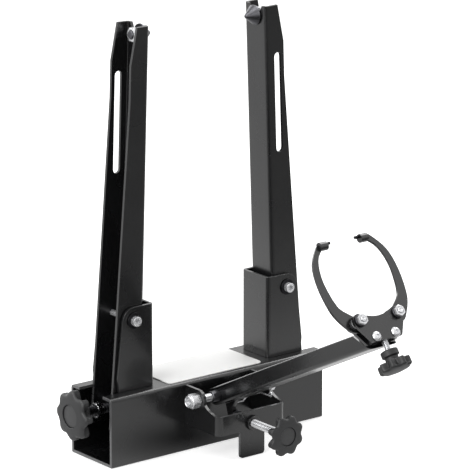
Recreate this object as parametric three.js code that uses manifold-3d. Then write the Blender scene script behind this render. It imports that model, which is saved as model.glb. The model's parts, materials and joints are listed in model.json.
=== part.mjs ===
// A stand for truing bicycle wheels: a folded steel base, two leaning uprights that hold the
// axle between cones, and an arm that carries a pair of jaws up to the rim.
// Millimetres, X along the base, Y to the back, Z up. The origin is the centre of the underside.

import * as THREE from 'three';
import Module from 'manifold-3d';
import { mergeVertices } from 'three/addons/utils/BufferGeometryUtils.js';

const wasm = await Module();
wasm.setup();

// Sheet, clearances and cutters
const SHEET = 3;
const FOLD = 4;
const FIT = 0.3;
const SEAT = 0.05;
const OVERRUN = 5;

// Base
const BASE_LENGTH = 264;
const BASE_DEPTH = 66;
const BASE_HEIGHT = 70;
const END_CUT_START = 74.5;
const END_CUT_WIDTH = 38;
const END_CUT_CORNER = 4;
const SIGHT_LENGTH = 116;
const SIGHT_DEPTH = 58;
const SIGHT_CORNER = 5;
const SIGHT_SHEET = 1;

// Brackets that carry the uprights
const BRACKET_GAP = 141.4;
const BRACKET_DEPTH = 42;
const BRACKET_FOOT = 42.6;
const BRACKET_FLARE = 44;
const BRACKET_FLARE_HEIGHT = 14;
const PIVOT_INSET = 24.2;
const PIVOT_HEIGHT = 70.4;
const PIVOT_CORNER = 13.2;

// Uprights, measured from their pivot
const UPRIGHT_DEPTH = 34;
const UPRIGHT_WEB_INSET = 15.1;
const UPRIGHT_LEAN = THREE.MathUtils.degToRad(1.9);
const UPRIGHT_TOP = 287.6;
const UPRIGHT_BOTTOM = 108.4;
const UPRIGHT_TOP_WIDTH = 15;
const UPRIGHT_NECK_WIDTH = 21.5;
const UPRIGHT_FOOT_WIDTH = 37.6;
const UPRIGHT_NECK_START = 37;
const UPRIGHT_NECK_LENGTH = 36;
const SLOT_WIDTH = 8;
const SLOT_INSET = 9.5;
const SLOT_DROP = 47.6;
const SLOT_LENGTH = 101;
const CONE_DROP = 10.4;
const CONE_RADIUS = 10;
const CONE_LENGTH = 12;
const CONE_RIM = 1.6;
const CONE_TIP = 1.8;
const CONE_STUD = 4;
const CONE_STUD_OUT = 11.5;
const NOTCH_TOP_HALF = 10.7;
const NOTCH_BEND_HALF = 7.6;
const NOTCH_BEND_DROP = 6;

// Pivot bolts of the uprights
const PIVOT_BOLT = 3;
const PIVOT_HEAD = 5;
const PIVOT_HEAD_HEIGHT = 5;
const PIVOT_SOCKET = 2.5;
const PIVOT_SOCKET_DEPTH = 2.5;
const PIVOT_WASHER = 8;
const PIVOT_WASHER_SHEET = 1.4;
const PIVOT_NUT_FLATS = 10;
const PIVOT_NUT_HEIGHT = 5;

// Spread screw across the base
const SPREAD_LEVER = 90.4;
const SPREAD_ROD = 5;
const SPREAD_ROD_RIGHT = 126;
const SPREAD_KNOB_FACE = 159;
const SPREAD_KNOB_RADIUS = 25.3;
const STOP_NUT_FLATS = 15;
const STOP_NUT_HEIGHT = 7;
const STOP_NUT_INNER = 121;
const SPREAD_NUT_RADIUS = 8;
const SPREAD_NUT_PIN = 5;
const SPREAD_NUT_PLAY = 0.7;
const ROD_HOLE = 7.5;
const BEARING_LENGTH = 20;
const BEARING_DEPTH = 30;
const BEARING_RISE = 12;
const COLLAR_RADIUS = 9;
const COLLAR_LENGTH = 6;

// Bracket of the caliper arm, on the front of the base
const ARM_BRACKET_WIDTH = 84;
const ARM_BRACKET_REACH = 53;
const ARM_BRACKET_FOLD = 7;
const ARM_BRACKET_HEIGHT = 43;
const ARM_BRACKET_FRONT = 19.5;
const EAR_RADIUS = 10.5;
const FOOT_TAB_WIDTH = 30;
const FOOT_TAB_CORNER = 3;
const ARM_PIVOT_REACH = 20;
const ARM_PIVOT_DROP = 13;
const ARM_BOLT = 4;
const ARM_NUT_FLATS = 13;
const ARM_NUT_HEIGHT = 6.5;
const ARM_BOLT_HEAD = 9;
const ARM_LOCK_NUT = 11.8;
const ARM_BOLT_SUNK = 2;

// Height screw
const HEIGHT_LEVER = 23;
const HEIGHT_CONTACT = 5.5;
const HEIGHT_SCREW = 4;
const HEIGHT_NUT_WIDTH = 16;
const HEIGHT_NUT_LENGTH = 7;
const HEIGHT_COLLAR = 7.4;
const HEIGHT_COLLAR_OUT = 3;
const HEIGHT_PAD = 6.5;
const HEIGHT_PAD_LENGTH = 3.5;
const HEIGHT_SPIGOT = 2;
const HEIGHT_SPIGOT_LENGTH = 2;
const HEIGHT_KNOB_OUT = 57;
const HEIGHT_KNOB_RADIUS = 20.5;

// Caliper arm, along its own length from its pivot
const ARM_WIDTH = 36;
const ARM_HEIGHT = 17.5;
const ARM_RAISE = THREE.MathUtils.degToRad(26.15);
const ARM_DOWN = THREE.MathUtils.degToRad(12);
const ARM_UP = THREE.MathUtils.degToRad(32);
const ARM_TAIL = 12;
const ARM_TAIL_CORNER = 5;
const ARM_LENGTH = 251;
const ARM_END_SLOPE = 19;
const BUSH_RADIUS = 5.5;
const BUSH_LEFT = 26;
const CAM_SHEET = 5;
const SPRING_WIRE = 0.9;
const SPRING_PITCH = 2.5;
const SPRING_TAIL_LEG = 9;
const SPRING_HOOK = 12;
const SPRING_FRONT_LEG = 17;
const SPRING_CURL = 1.8;

// Caliper head, on the front end of the arm
const HEAD_AHEAD = 4.86;
const HEAD_LIFT = 18.7;
const HEAD_TURN = THREE.MathUtils.degToRad(79.15);
const JAW_PIVOT_HALF = 22.5;
const HEAD_BOTTOM = 22.3;
const HEAD_BOTTOM_HALF = 17.7;
const HEAD_CORNER = 3;
const HEAD_EAR = 7.5;
const HEAD_DIP = 1.5;
const HEAD_FLANGE_HALF = 15;
const HEAD_FLANGE_DEPTH = 8.3;
const HEAD_NECK_LENGTH = 30;
const HEAD_NECK_HEIGHT = 10.4;
const HEAD_BOLT_HALF = 11.5;
const HEAD_BOLT_DROP = 18;
const HEAD_BOLT = 2.5;
const HEAD_BOLT_HEAD = 4.9;
const HEAD_BOLT_DOME = 2.8;
const HEAD_STANDOFF = 3.3;
const JAW_BUSH = 4.5;
const JAW_SHOULDER = 6.2;
const JAW_COLLAR = 6;
const JAW_COLLAR_HEIGHT = 2;
const JAW_BOLT = 3;
const JAW_BOLT_FLATS = 10;
const JAW_BOLT_HEAD = 4;
const JAW_NUT_HEIGHT = 5;

// Jaws and what drives them
const JAW_SHEET = 2.7;
const JAW_REACH = 80;
const NOSE_HALF = 8;
const NOSE_DROP = 8;
const NOSE_RADIUS = 2.5;
const NOSE_GAP = 0.35;
const FEELER_RADIUS = 4.25;
const FEELER_INNER = 17.7;
const FEELER_OUTER = 29;
const FEELER_PIN = 1.5;
const FEELER_PIN_TIP = 14.8;
const FEELER_PIN_SEAT = 3;
const FEELER_SLOT = 25.2;
const FEELER_PIN_LIFT = 1.8;
const CROSSHEAD_BAR = 3;
const CROSSHEAD_HALF = 10.5;
const CROSSHEAD_WAIST_HALF = 3.6;
const CROSSHEAD_LOW_BAR = 2.5;
const CROSSHEAD_LOW_HALF = 7.9;
const JAW_SCREW = 3;
const JAW_SPIGOT = 1.5;
const JAW_SPIGOT_LENGTH = 5;
const JAW_KNOB_FACE = 53.4;
const JAW_KNOB_RADIUS = 16.3;

// Knobs: their lobes, the bore for the screw, and shares of the knob's radius
const LOBES = 8;
const LOBE_SHARPNESS = 1.6;
const LOBE_STEPS = 5;
const KNOB_BORE = 5;
const knobShares = {
  dip: 0.16,
  dome: 0.1,
  shoulder: 0.55,
  edge: 0.05,
  band: 0.44,
  recess: 0.8,
  hub: 0.42,
  neck: 0.36,
  length: 0.72,
  collar: 0.22,
  back: 0.16,
  cap: 0.44,
  capSeat: 0.16,
  capSunk: 0.05,
  capCrown: 0.08,
};

// The jaw knob is slimmer and deeper for its radius than the other two
const jawKnobShares = {
  ...knobShares,
  band: 0.61,
  hub: 0.53,
  neck: 0.41,
  length: 1.29,
  collar: 0.38,
};

// Shares that shape the jaws, each of the jaw's reach, in the frame of the head
const jawShares = {
  neck: 0.64,
  outer: [
    [0.30, -0.119],
    [0.3875, -0.0875],
    [0.45, -0.0125],
    [0.51, 0.075],
    [0.555, 0.175],
    [0.579, 0.296],
    [0.594, 0.459],
    [0.5875, 0.625],
    [0.556, 0.775],
    [0.494, 0.89],
    [0.3875, 1.0125],
    [0.3375, 1.05],
  ],
  inner: [
    [0.325, 0.9625],
    [0.419, 0.875],
    [0.475, 0.7425],
    [0.4975, 0.575],
    [0.478, 0.386],
    [0.456, 0.2925],
    [0.416, 0.204],
    [0.2625, 0.075],
    [0.21, 0.045],
  ],
};

// Shares that shape the cam, each of its lever, and the sweep of the arm bracket's ears
const camShares = {
  rootFront: -0.26,
  waistFront: 0.14,
  waistDrop: -0.63,
  tip: 0.57,
  tipDrop: -1.24,
  heel: 0.59,
  heelDrop: -0.96,
};
const earSweepShares = { across: 0.25, up: 0.2 };

// Edges turned off nuts and heads, as a share of their width across flats
const CHAMFER_SHARE = 0.08;

// Turns and steps of the curved outlines
const SMALL_RADIUS = 6.5;
const SMALL_SIDES = 16;
const LARGE_SIDES = 24;
const HEXAGON_SIDES = 12;
const CORNER_STEPS = 6;
const FILLET_STEPS = 4;
const CAM_STEPS = 10;
const CAM_SPARE = THREE.MathUtils.degToRad(2);
const EAR_TURN = THREE.MathUtils.degToRad(15);
const EAR_END = THREE.MathUtils.degToRad(118);
const NOSE_TURN = THREE.MathUtils.degToRad(45);
const SPRING_STEPS = 8;
const SPRING_LEG_STEPS = 16;
const SPRING_CURL_STEPS = 5;
const SPRING_CURL_TURN = THREE.MathUtils.degToRad(250);
const SPRING_SIDES = 5;

// Places that follow from the sizes above
const HALF_LENGTH = BASE_LENGTH / 2;
const HALF_DEPTH = BASE_DEPTH / 2;
const BRACKET_FACE = BRACKET_GAP / 2;
const PIVOT_X = BRACKET_FACE + PIVOT_INSET;
const PIVOT_Z = BASE_HEIGHT + PIVOT_HEIGHT;
const CONE_HEIGHT = UPRIGHT_TOP - CONE_DROP;
const SLOT_HIGH = UPRIGHT_TOP - SLOT_DROP;
const SLOT_LOW = SLOT_HIGH - SLOT_LENGTH;
const SPREAD_Z = PIVOT_Z - SPREAD_LEVER;
const SPREAD_NUT_X = PIVOT_X + SPREAD_LEVER * Math.sin(UPRIGHT_LEAN);
const ARM_PIVOT_Y = -(HALF_DEPTH + ARM_PIVOT_REACH);
const ARM_PIVOT_Z = BASE_HEIGHT - ARM_PIVOT_DROP;
const ARM_BRACKET_Y = -(HALF_DEPTH + ARM_BRACKET_REACH);
const ARM_BRACKET_LOW = BASE_HEIGHT - ARM_BRACKET_HEIGHT;
const EAR_HALF = ARM_BRACKET_WIDTH / 2;
const HEIGHT_Z = ARM_PIVOT_Z - HEIGHT_LEVER;
const ARM_HALF = ARM_WIDTH / 2;
const ARM_TOP = ARM_HEIGHT / 2;
const ARM_UNDERSIDE = -ARM_HEIGHT / 2;
const BUSH_RIGHT = EAR_HALF - SHEET - FIT;
const HEAD_REACH = ARM_LENGTH + HEAD_AHEAD;
const RIGHT_JAW_LAYER = -(SHEET + FIT + JAW_SHEET);
const LEFT_JAW_LAYER = RIGHT_JAW_LAYER - FIT - JAW_SHEET;
const BACK_PLATE = LEFT_JAW_LAYER - FIT - SHEET;
const JAW_AXIS = RIGHT_JAW_LAYER - FIT / 2;

const PAINT = { color: 0x232427, roughness: 0.42, metalness: 0.3 };
const STEEL = { color: 0xc9cbd0, roughness: 0.25, metalness: 0.95 };
const DARK_STEEL = { color: 0x35363a, roughness: 0.35, metalness: 0.85 };
const PLASTIC = { color: 0x2b2c2e, roughness: 0.65, metalness: 0 };
const CAP_PLASTIC = { color: 0x36373a, roughness: 0.5, metalness: 0 };
const WHITE_PAINT = { color: 0xf2f2f0, roughness: 0.5, metalness: 0 };

const part = new THREE.Group();

// Solids from closed geometry, and geometry from solids

function solidOf(geometry) {
  const bare = geometry.clone();
  bare.deleteAttribute('normal');
  bare.deleteAttribute('uv');
  const merged = mergeVertices(bare);
  return new wasm.Manifold(
    new wasm.Mesh({
      numProp: 3,
      vertProperties: new Float32Array(merged.attributes.position.array),
      triVerts: new Uint32Array(merged.index.array),
    })
  );
}

function surfaceOf(solid) {
  const mesh = solid.getMesh();
  const geometry = new THREE.BufferGeometry();
  geometry.setAttribute('position', new THREE.BufferAttribute(mesh.vertProperties, 3));
  geometry.setIndex(new THREE.BufferAttribute(mesh.triVerts, 1));
  geometry.computeVertexNormals();
  return geometry;
}

function moved(solid, matrix) {
  return solidOf(surfaceOf(solid).applyMatrix4(matrix));
}

function place(parent, name, solid, look) {
  const mesh = new THREE.Mesh(surfaceOf(solid), new THREE.MeshStandardMaterial(look));
  mesh.name = name;
  parent.add(mesh);
  return mesh;
}

function group(parent, x, y, z) {
  const frame = new THREE.Group();
  frame.position.set(x, y, z);
  parent.add(frame);
  return frame;
}

// Outlines: a corner is [across, up] or [across, up, radius]

function arc(x, y, radius, start, end, steps) {
  const points = [];
  for (let i = 0; i <= steps; i += 1) {
    const angle = start + ((end - start) * i) / steps;
    points.push([x + radius * Math.cos(angle), y + radius * Math.sin(angle)]);
  }
  return points;
}

function filleted(corners) {
  const points = [];
  corners.forEach(([x, y, radius = 0], i) => {
    if (radius <= 0) {
      points.push(new THREE.Vector2(x, y));
      return;
    }
    const corner = new THREE.Vector2(x, y);
    const before = new THREE.Vector2(...corners.at(i - 1)).sub(corner).normalize();
    const after = new THREE.Vector2(...corners[(i + 1) % corners.length]).sub(corner).normalize();
    const half = Math.acos(THREE.MathUtils.clamp(before.dot(after), -1, 1)) / 2;
    const middle = before.clone().add(after).normalize();
    const centre = corner.clone().addScaledVector(middle, radius / Math.sin(half));
    const start = corner.clone().addScaledVector(before, radius / Math.tan(half)).sub(centre);
    const sweep = Math.PI - 2 * half;
    const way = Math.sign(start.cross(middle.clone().negate()));
    for (let k = 0; k <= FILLET_STEPS; k += 1) {
      const angle = (way * sweep * k) / FILLET_STEPS;
      points.push(start.clone().rotateAround(new THREE.Vector2(), angle).add(centre));
    }
  });
  return new THREE.Shape(points);
}

function outline(points) {
  return new THREE.Shape(points.map(([x, y]) => new THREE.Vector2(x, y)));
}

function tangentAngle(x, y, radius) {
  return Math.atan2(y, x) + Math.acos(radius / Math.hypot(x, y));
}

// A prism holds the outline still along one axis: along x it is drawn in (Y, Z), along y in
// (X, Z) and along z in (X, Y).
function prism(axis, shape, from, to) {
  const geometry = new THREE.ExtrudeGeometry(shape, {
    depth: to - from,
    bevelEnabled: false,
    steps: 1,
  });
  const x = new THREE.Vector3(1, 0, 0);
  const y = new THREE.Vector3(0, 1, 0);
  const z = new THREE.Vector3(0, 0, 1);
  if (axis === 'x') {
    geometry.applyMatrix4(new THREE.Matrix4().makeBasis(y, z, x));
    geometry.translate(from, 0, 0);
  } else if (axis === 'y') {
    geometry.applyMatrix4(new THREE.Matrix4().makeBasis(x, z, y.negate()));
    geometry.translate(0, to, 0);
  } else {
    geometry.translate(0, 0, from);
  }
  return solidOf(geometry);
}

// A turned solid spins a profile of [radius, position] about an axis through [x, y, z]
function turned(axis, profile, at = [0, 0, 0], sides = 0) {
  const points = profile.map(([radius, along]) => new THREE.Vector2(radius, along));
  const widest = Math.max(...profile.map(([radius]) => radius));
  const usual = widest > SMALL_RADIUS ? LARGE_SIDES : SMALL_SIDES;
  const geometry = new THREE.LatheGeometry(points, sides || usual);
  if (axis === 'x') geometry.rotateZ(-Math.PI / 2);
  if (axis === 'z') geometry.rotateX(Math.PI / 2);
  geometry.translate(...at);
  return solidOf(geometry);
}

function rod(axis, radius, from, to, at, sides) {
  return turned(axis, [[0, from], [radius, from], [radius, to], [0, to]], at, sides);
}

function tube(axis, radius, bore, from, to, at, sides) {
  return turned(
    axis,
    [[bore, from], [radius, from], [radius, to], [bore, to], [bore, from]],
    at,
    sides
  );
}

function block(x0, x1, y0, y1, z0, z1) {
  const box = new THREE.BoxGeometry(x1 - x0, y1 - y0, z1 - z0);
  box.translate((x0 + x1) / 2, (y0 + y1) / 2, (z0 + z1) / 2);
  return solidOf(box);
}

// A hexagon nut or head with its corners turned off at both ends
function hexagon(axis, flats, from, to, at) {
  const corner = flats / Math.sqrt(3);
  const chamfer = flats * CHAMFER_SHARE;
  const blank = turned(axis, [[0, from], [corner, from], [corner, to], [0, to]], at, 6);
  const rim = [
    [0, from],
    [flats / 2, from],
    [corner, from + chamfer],
    [corner, to - chamfer],
    [flats / 2, to],
    [0, to],
  ];
  return blank.intersect(turned(axis, rim, at, HEXAGON_SIDES));
}

// The plan of a folded channel: a web across the back of it and a flange along each side
function channel(half, back, front, fold) {
  const inward = Math.sign(front - back) * SHEET;
  return filleted([
    [-half, front],
    [-half, back, fold],
    [half, back, fold],
    [half, front],
    [half - SHEET, front],
    [half - SHEET, back + inward, fold - SHEET],
    [-half + SHEET, back + inward, fold - SHEET],
    [-half + SHEET, front],
  ]);
}

// The same plan lying on its side, with the web at x = back
function sideChannel(half, back, front, fold) {
  const inward = Math.sign(front - back) * SHEET;
  return filleted([
    [front, -half],
    [back, -half, fold],
    [back, half, fold],
    [front, half],
    [front, half - SHEET],
    [back + inward, half - SHEET, fold - SHEET],
    [back + inward, -half + SHEET, fold - SHEET],
    [front, -half + SHEET],
  ]);
}

// Knobs: the face points along +z and lies at z = 0, the hub runs back along -z

function lobedOutline(radius, dip) {
  const steps = LOBES * LOBE_STEPS;
  const points = [];
  for (let i = 0; i < steps; i += 1) {
    const angle = (2 * Math.PI * i) / steps;
    const valley = ((1 - Math.cos(LOBES * angle)) / 2) ** LOBE_SHARPNESS;
    const reach = radius * (1 - dip * valley);
    points.push([reach * Math.cos(angle), reach * Math.sin(angle)]);
  }
  return outline(points);
}

function knob(radius, shares, bore, boreDepth, capped) {
  const band = radius * shares.band;
  const length = radius * shares.length;
  const collarTop = radius * shares.collar - length;
  const dome = radius * shares.dome;
  const edge = radius * shares.edge;
  const hub = radius * shares.hub;
  const shell = turned('z', [
    [0, -band],
    [radius - edge, -band],
    [radius, -band + edge],
    [radius, -dome - edge],
    [radius - edge, -dome],
    [radius * shares.shoulder, -dome / 4],
    [0, 0],
  ], [0, 0, 0], LOBES * LOBE_STEPS);
  let body = prism('z', lobedOutline(radius, shares.dip), -band - OVERRUN, OVERRUN).intersect(shell);
  const recess = radius * shares.recess;
  const back = radius * shares.back;
  body = body.subtract(tube('z', recess, hub, -band - OVERRUN, -back - dome));
  const collar = turned('z', [
    [0, -length],
    [hub - edge, -length],
    [hub, -length + edge],
    [hub, collarTop],
    [radius * shares.neck, collarTop + edge],
    [radius * shares.neck, -band],
    [hub, -band + edge],
    [hub, -back],
    [0, -back],
  ]);
  body = body.add(collar);
  body = body.subtract(rod('z', bore, -length - OVERRUN, -length + boreDepth));
  if (capped) {
    const cap = radius * shares.cap;
    body = body.subtract(rod('z', cap + FIT, -radius * shares.capSeat, OVERRUN));
  }
  return body;
}

function knobCap(radius) {
  const cap = radius * knobShares.cap;
  const seat = -radius * knobShares.capSeat + FIT;
  const sunk = -radius * knobShares.capSunk;
  return turned('z', [
    [0, seat],
    [cap, seat],
    [cap, sunk - cap * knobShares.capCrown],
    [cap * knobShares.shoulder, sunk - (cap * knobShares.capCrown) / 4],
    [0, sunk],
  ]);
}

// Base: a folded channel open at both ends, its floor plate and the white sight plate

{
  let channelSolid = prism('x', channel(HALF_DEPTH, BASE_HEIGHT, 0, FOLD), -HALF_LENGTH, HALF_LENGTH);
  for (const side of [1, -1]) {
    const half = END_CUT_WIDTH / 2;
    const cut = filleted([
      [side * END_CUT_START, -half, END_CUT_CORNER],
      [side * (HALF_LENGTH + OVERRUN), -half],
      [side * (HALF_LENGTH + OVERRUN), half],
      [side * END_CUT_START, half, END_CUT_CORNER],
    ]);
    channelSolid = channelSolid.subtract(
      prism('z', cut, BASE_HEIGHT - SHEET - OVERRUN, BASE_HEIGHT + OVERRUN)
    );
  }
  place(part, 'base_channel', channelSolid, PAINT);

  const floorHalf = HALF_DEPTH - SHEET - SEAT;
  place(
    part,
    'base_floor_plate',
    block(-HALF_LENGTH, HALF_LENGTH, -floorHalf, floorHalf, 0, SHEET),
    PAINT
  );

  const sight = filleted([
    [-SIGHT_LENGTH / 2, -SIGHT_DEPTH / 2, SIGHT_CORNER],
    [SIGHT_LENGTH / 2, -SIGHT_DEPTH / 2, SIGHT_CORNER],
    [SIGHT_LENGTH / 2, SIGHT_DEPTH / 2, SIGHT_CORNER],
    [-SIGHT_LENGTH / 2, SIGHT_DEPTH / 2, SIGHT_CORNER],
  ]);
  const sightFoot = BASE_HEIGHT + SEAT;
  place(part, 'sight_plate', prism('z', sight, sightFoot, sightFoot + SIGHT_SHEET), WHITE_PAINT);
}

// Brackets, uprights, cones and pivot bolts. The left side is the right one turned half round.

function bracketSolid() {
  const half = BRACKET_DEPTH / 2;
  const plan = sideChannel(half, BRACKET_FACE, BRACKET_FACE + BRACKET_FLARE + OVERRUN, FOLD);
  const foot = BASE_HEIGHT + SEAT;
  const top = PIVOT_Z + PIVOT_CORNER;
  const flareX = BRACKET_FACE + BRACKET_FLARE;
  const flareZ = BASE_HEIGHT + BRACKET_FLARE_HEIGHT;
  const turn = tangentAngle(flareX - PIVOT_X, flareZ - PIVOT_Z, PIVOT_CORNER);
  const side = outline([
    [BRACKET_FACE - OVERRUN, foot - OVERRUN],
    [BRACKET_FACE + BRACKET_FOOT, foot - OVERRUN],
    [BRACKET_FACE + BRACKET_FOOT, foot],
    [flareX, flareZ],
    ...arc(PIVOT_X, PIVOT_Z, PIVOT_CORNER, turn, Math.PI / 2, CORNER_STEPS),
    [BRACKET_FACE - OVERRUN, top],
  ]);
  return prism('z', plan, foot, top + OVERRUN)
    .intersect(prism('y', side, -half - OVERRUN, half + OVERRUN))
    .subtract(rod('y', PIVOT_BOLT + FIT, -half - OVERRUN, half + OVERRUN, [PIVOT_X, 0, PIVOT_Z]));
}

function uprightSolid() {
  const half = UPRIGHT_DEPTH / 2;
  const web = -UPRIGHT_WEB_INSET;
  const plan = sideChannel(half, web, web + UPRIGHT_FOOT_WIDTH + OVERRUN, FOLD);
  const neckTop = UPRIGHT_TOP - UPRIGHT_NECK_START;
  const side = outline([
    [web - OVERRUN, -UPRIGHT_BOTTOM],
    [web + UPRIGHT_FOOT_WIDTH, -UPRIGHT_BOTTOM],
    [web + UPRIGHT_NECK_WIDTH, neckTop - UPRIGHT_NECK_LENGTH],
    [web + UPRIGHT_NECK_WIDTH, neckTop],
    [web + UPRIGHT_TOP_WIDTH, UPRIGHT_TOP],
    [web - OVERRUN, UPRIGHT_TOP],
  ]);
  let solid = prism('z', plan, -UPRIGHT_BOTTOM, UPRIGHT_TOP)
    .intersect(prism('y', side, -half - OVERRUN, half + OVERRUN));

  const throat = CONE_STUD + FIT;
  const bend = UPRIGHT_TOP - NOTCH_BEND_DROP;
  const notch = outline([
    [-NOTCH_TOP_HALF, UPRIGHT_TOP + OVERRUN],
    [-NOTCH_TOP_HALF, UPRIGHT_TOP],
    [-NOTCH_BEND_HALF, bend],
    ...arc(0, CONE_HEIGHT, throat, Math.PI, 2 * Math.PI, CORNER_STEPS),
    [NOTCH_BEND_HALF, bend],
    [NOTCH_TOP_HALF, UPRIGHT_TOP],
    [NOTCH_TOP_HALF, UPRIGHT_TOP + OVERRUN],
  ]);
  solid = solid.subtract(prism('x', notch, web - OVERRUN, web + SHEET + OVERRUN));

  const slotMiddle = web + SLOT_INSET + SLOT_WIDTH / 2;
  const slotEnd = SLOT_WIDTH / 2;
  const slot = outline([
    ...arc(slotMiddle, SLOT_LOW + slotEnd, slotEnd, Math.PI, 2 * Math.PI, CORNER_STEPS),
    ...arc(slotMiddle, SLOT_HIGH - slotEnd, slotEnd, 0, Math.PI, CORNER_STEPS),
  ]);
  solid = solid.subtract(prism('y', slot, -half - OVERRUN, -half + SHEET + OVERRUN));

  const through = [-half - OVERRUN, half + OVERRUN];
  solid = solid.subtract(rod('y', PIVOT_BOLT + FIT, ...through));
  solid = solid.subtract(
    rod('y', SPREAD_NUT_PIN + SPREAD_NUT_PLAY, ...through, [0, 0, -SPREAD_LEVER])
  );
  return solid.subtract(
    rod('x', ROD_HOLE, web - OVERRUN, web + SHEET + OVERRUN, [0, 0, -SPREAD_LEVER])
  );
}

function coneSolid() {
  const seat = -UPRIGHT_WEB_INSET - FIT;
  const tip = seat - CONE_LENGTH;
  return turned('x', [
    [0, tip],
    [CONE_TIP, tip],
    [CONE_RADIUS, seat - CONE_RIM],
    [CONE_RADIUS, seat],
    [CONE_STUD, seat],
    [CONE_STUD, seat + CONE_STUD_OUT],
    [0, seat + CONE_STUD_OUT],
  ], [0, 0, CONE_HEIGHT]);
}

function coneNutSolid() {
  const seat = -UPRIGHT_WEB_INSET + SHEET + FIT;
  const at = [0, 0, CONE_HEIGHT];
  return hexagon('x', ARM_NUT_FLATS, seat, seat + ARM_NUT_HEIGHT, at).subtract(
    rod('x', CONE_STUD + FIT, seat - OVERRUN, seat + ARM_NUT_HEIGHT + OVERRUN, at)
  );
}

function spreadNutSolid() {
  const inner = UPRIGHT_DEPTH / 2 - SHEET - FIT;
  const outer = UPRIGHT_DEPTH / 2;
  const bore = SPREAD_ROD + FIT;
  return turned('y', [
    [0, -outer],
    [SPREAD_NUT_PIN, -outer],
    [SPREAD_NUT_PIN, -inner],
    [SPREAD_NUT_RADIUS, -inner],
    [SPREAD_NUT_RADIUS, inner],
    [SPREAD_NUT_PIN, inner],
    [SPREAD_NUT_PIN, outer],
    [0, outer],
  ]).subtract(rod('x', bore, -SPREAD_NUT_RADIUS - OVERRUN, SPREAD_NUT_RADIUS + OVERRUN));
}

for (const [side, turn] of [['left', Math.PI], ['right', 0]]) {
  const half = group(part, 0, 0, 0);
  half.rotation.z = turn;
  place(half, `${side}_bracket`, bracketSolid(), PAINT);

  const leaning = group(half, PIVOT_X, 0, PIVOT_Z);
  leaning.rotation.y = -UPRIGHT_LEAN;
  place(leaning, `${side}_upright`, uprightSolid(), PAINT);
  place(leaning, `${side}_axle_cone`, coneSolid(), DARK_STEEL);
  place(leaning, `${side}_cone_nut`, coneNutSolid(), STEEL);

  const nut = group(half, SPREAD_NUT_X, 0, SPREAD_Z);
  place(nut, `${side}_spread_nut`, spreadNutSolid(), DARK_STEEL);
}

for (const [side, sign] of [['left', -1], ['right', 1]]) {
  const bolt = group(part, sign * PIVOT_X, 0, PIVOT_Z);
  const face = -BRACKET_DEPTH / 2 - SEAT;
  const underHead = face - PIVOT_WASHER_SHEET - SEAT;
  const headTop = underHead - PIVOT_HEAD_HEIGHT;
  const back = BRACKET_DEPTH / 2 + SEAT;
  const backEnd = back + PIVOT_NUT_HEIGHT;
  const edge = PIVOT_HEAD * CHAMFER_SHARE * 2;
  const socket = rod('y', PIVOT_SOCKET, headTop - OVERRUN, headTop + PIVOT_SOCKET_DEPTH, [0, 0, 0], 6);
  place(bolt, `${side}_pivot_bolt`, turned('y', [
    [0, headTop],
    [PIVOT_HEAD - edge, headTop],
    [PIVOT_HEAD, headTop + edge],
    [PIVOT_HEAD, underHead],
    [PIVOT_BOLT, underHead],
    [PIVOT_BOLT, backEnd + SHEET / 2],
    [0, backEnd + SHEET / 2],
  ]).subtract(socket), STEEL);
  place(
    bolt,
    `${side}_pivot_washer`,
    tube('y', PIVOT_WASHER, PIVOT_BOLT + FIT, face - PIVOT_WASHER_SHEET, face),
    DARK_STEEL
  );
  place(
    bolt,
    `${side}_pivot_nut`,
    hexagon('y', PIVOT_NUT_FLATS, back, backEnd).subtract(
      rod('y', PIVOT_BOLT + FIT, back - OVERRUN, backEnd + OVERRUN)
    ),
    STEEL
  );
}

// Spread screw: a rod across the base with a knob at its left end

{
  const screw = group(part, 0, 0, SPREAD_Z);
  const hubEnd = -SPREAD_KNOB_FACE + SPREAD_KNOB_RADIUS * knobShares.length;
  const rodLeft = hubEnd - KNOB_BORE;
  place(screw, 'spread_rod', rod('x', SPREAD_ROD, rodLeft, SPREAD_ROD_RIGHT), DARK_STEEL);

  const stopEnd = -STOP_NUT_INNER;
  const stopStart = stopEnd - STOP_NUT_HEIGHT;
  place(
    screw,
    'rod_stop_nut',
    hexagon('x', STOP_NUT_FLATS, stopStart, stopEnd).subtract(
      rod('x', SPREAD_ROD + FIT, stopStart - OVERRUN, stopEnd + OVERRUN)
    ),
    STEEL
  );

  const bearingHalf = BEARING_LENGTH / 2;
  for (const [side, sign] of [['left', -1], ['right', 1]]) {
    const near = sign * (bearingHalf + FIT);
    const far = near + sign * COLLAR_LENGTH;
    const ends = [Math.min(near, far), Math.max(near, far)];
    place(
      screw,
      `${side}_rod_collar`,
      tube('x', COLLAR_RADIUS, SPREAD_ROD + FIT, ...ends),
      STEEL
    );
  }

  const facing = group(screw, -SPREAD_KNOB_FACE, 0, 0);
  facing.rotation.y = -Math.PI / 2;
  place(
    facing,
    'spread_knob',
    knob(SPREAD_KNOB_RADIUS, knobShares, SPREAD_ROD + FIT, KNOB_BORE + FIT, true),
    PLASTIC
  );
  place(facing, 'spread_knob_cap', knobCap(SPREAD_KNOB_RADIUS), CAP_PLASTIC);

  const bearingFoot = SHEET + SEAT;
  const bearingTop = SPREAD_Z + BEARING_RISE;
  place(
    part,
    'screw_bearing_block',
    block(
      -bearingHalf,
      bearingHalf,
      -BEARING_DEPTH / 2,
      BEARING_DEPTH / 2,
      bearingFoot,
      bearingTop
    ).subtract(
      rod('x', SPREAD_ROD + FIT, -bearingHalf - OVERRUN, bearingHalf + OVERRUN, [0, 0, SPREAD_Z])
    ),
    PAINT
  );
}

// Bracket of the caliper arm, its bolt and the nut of the height screw

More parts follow.
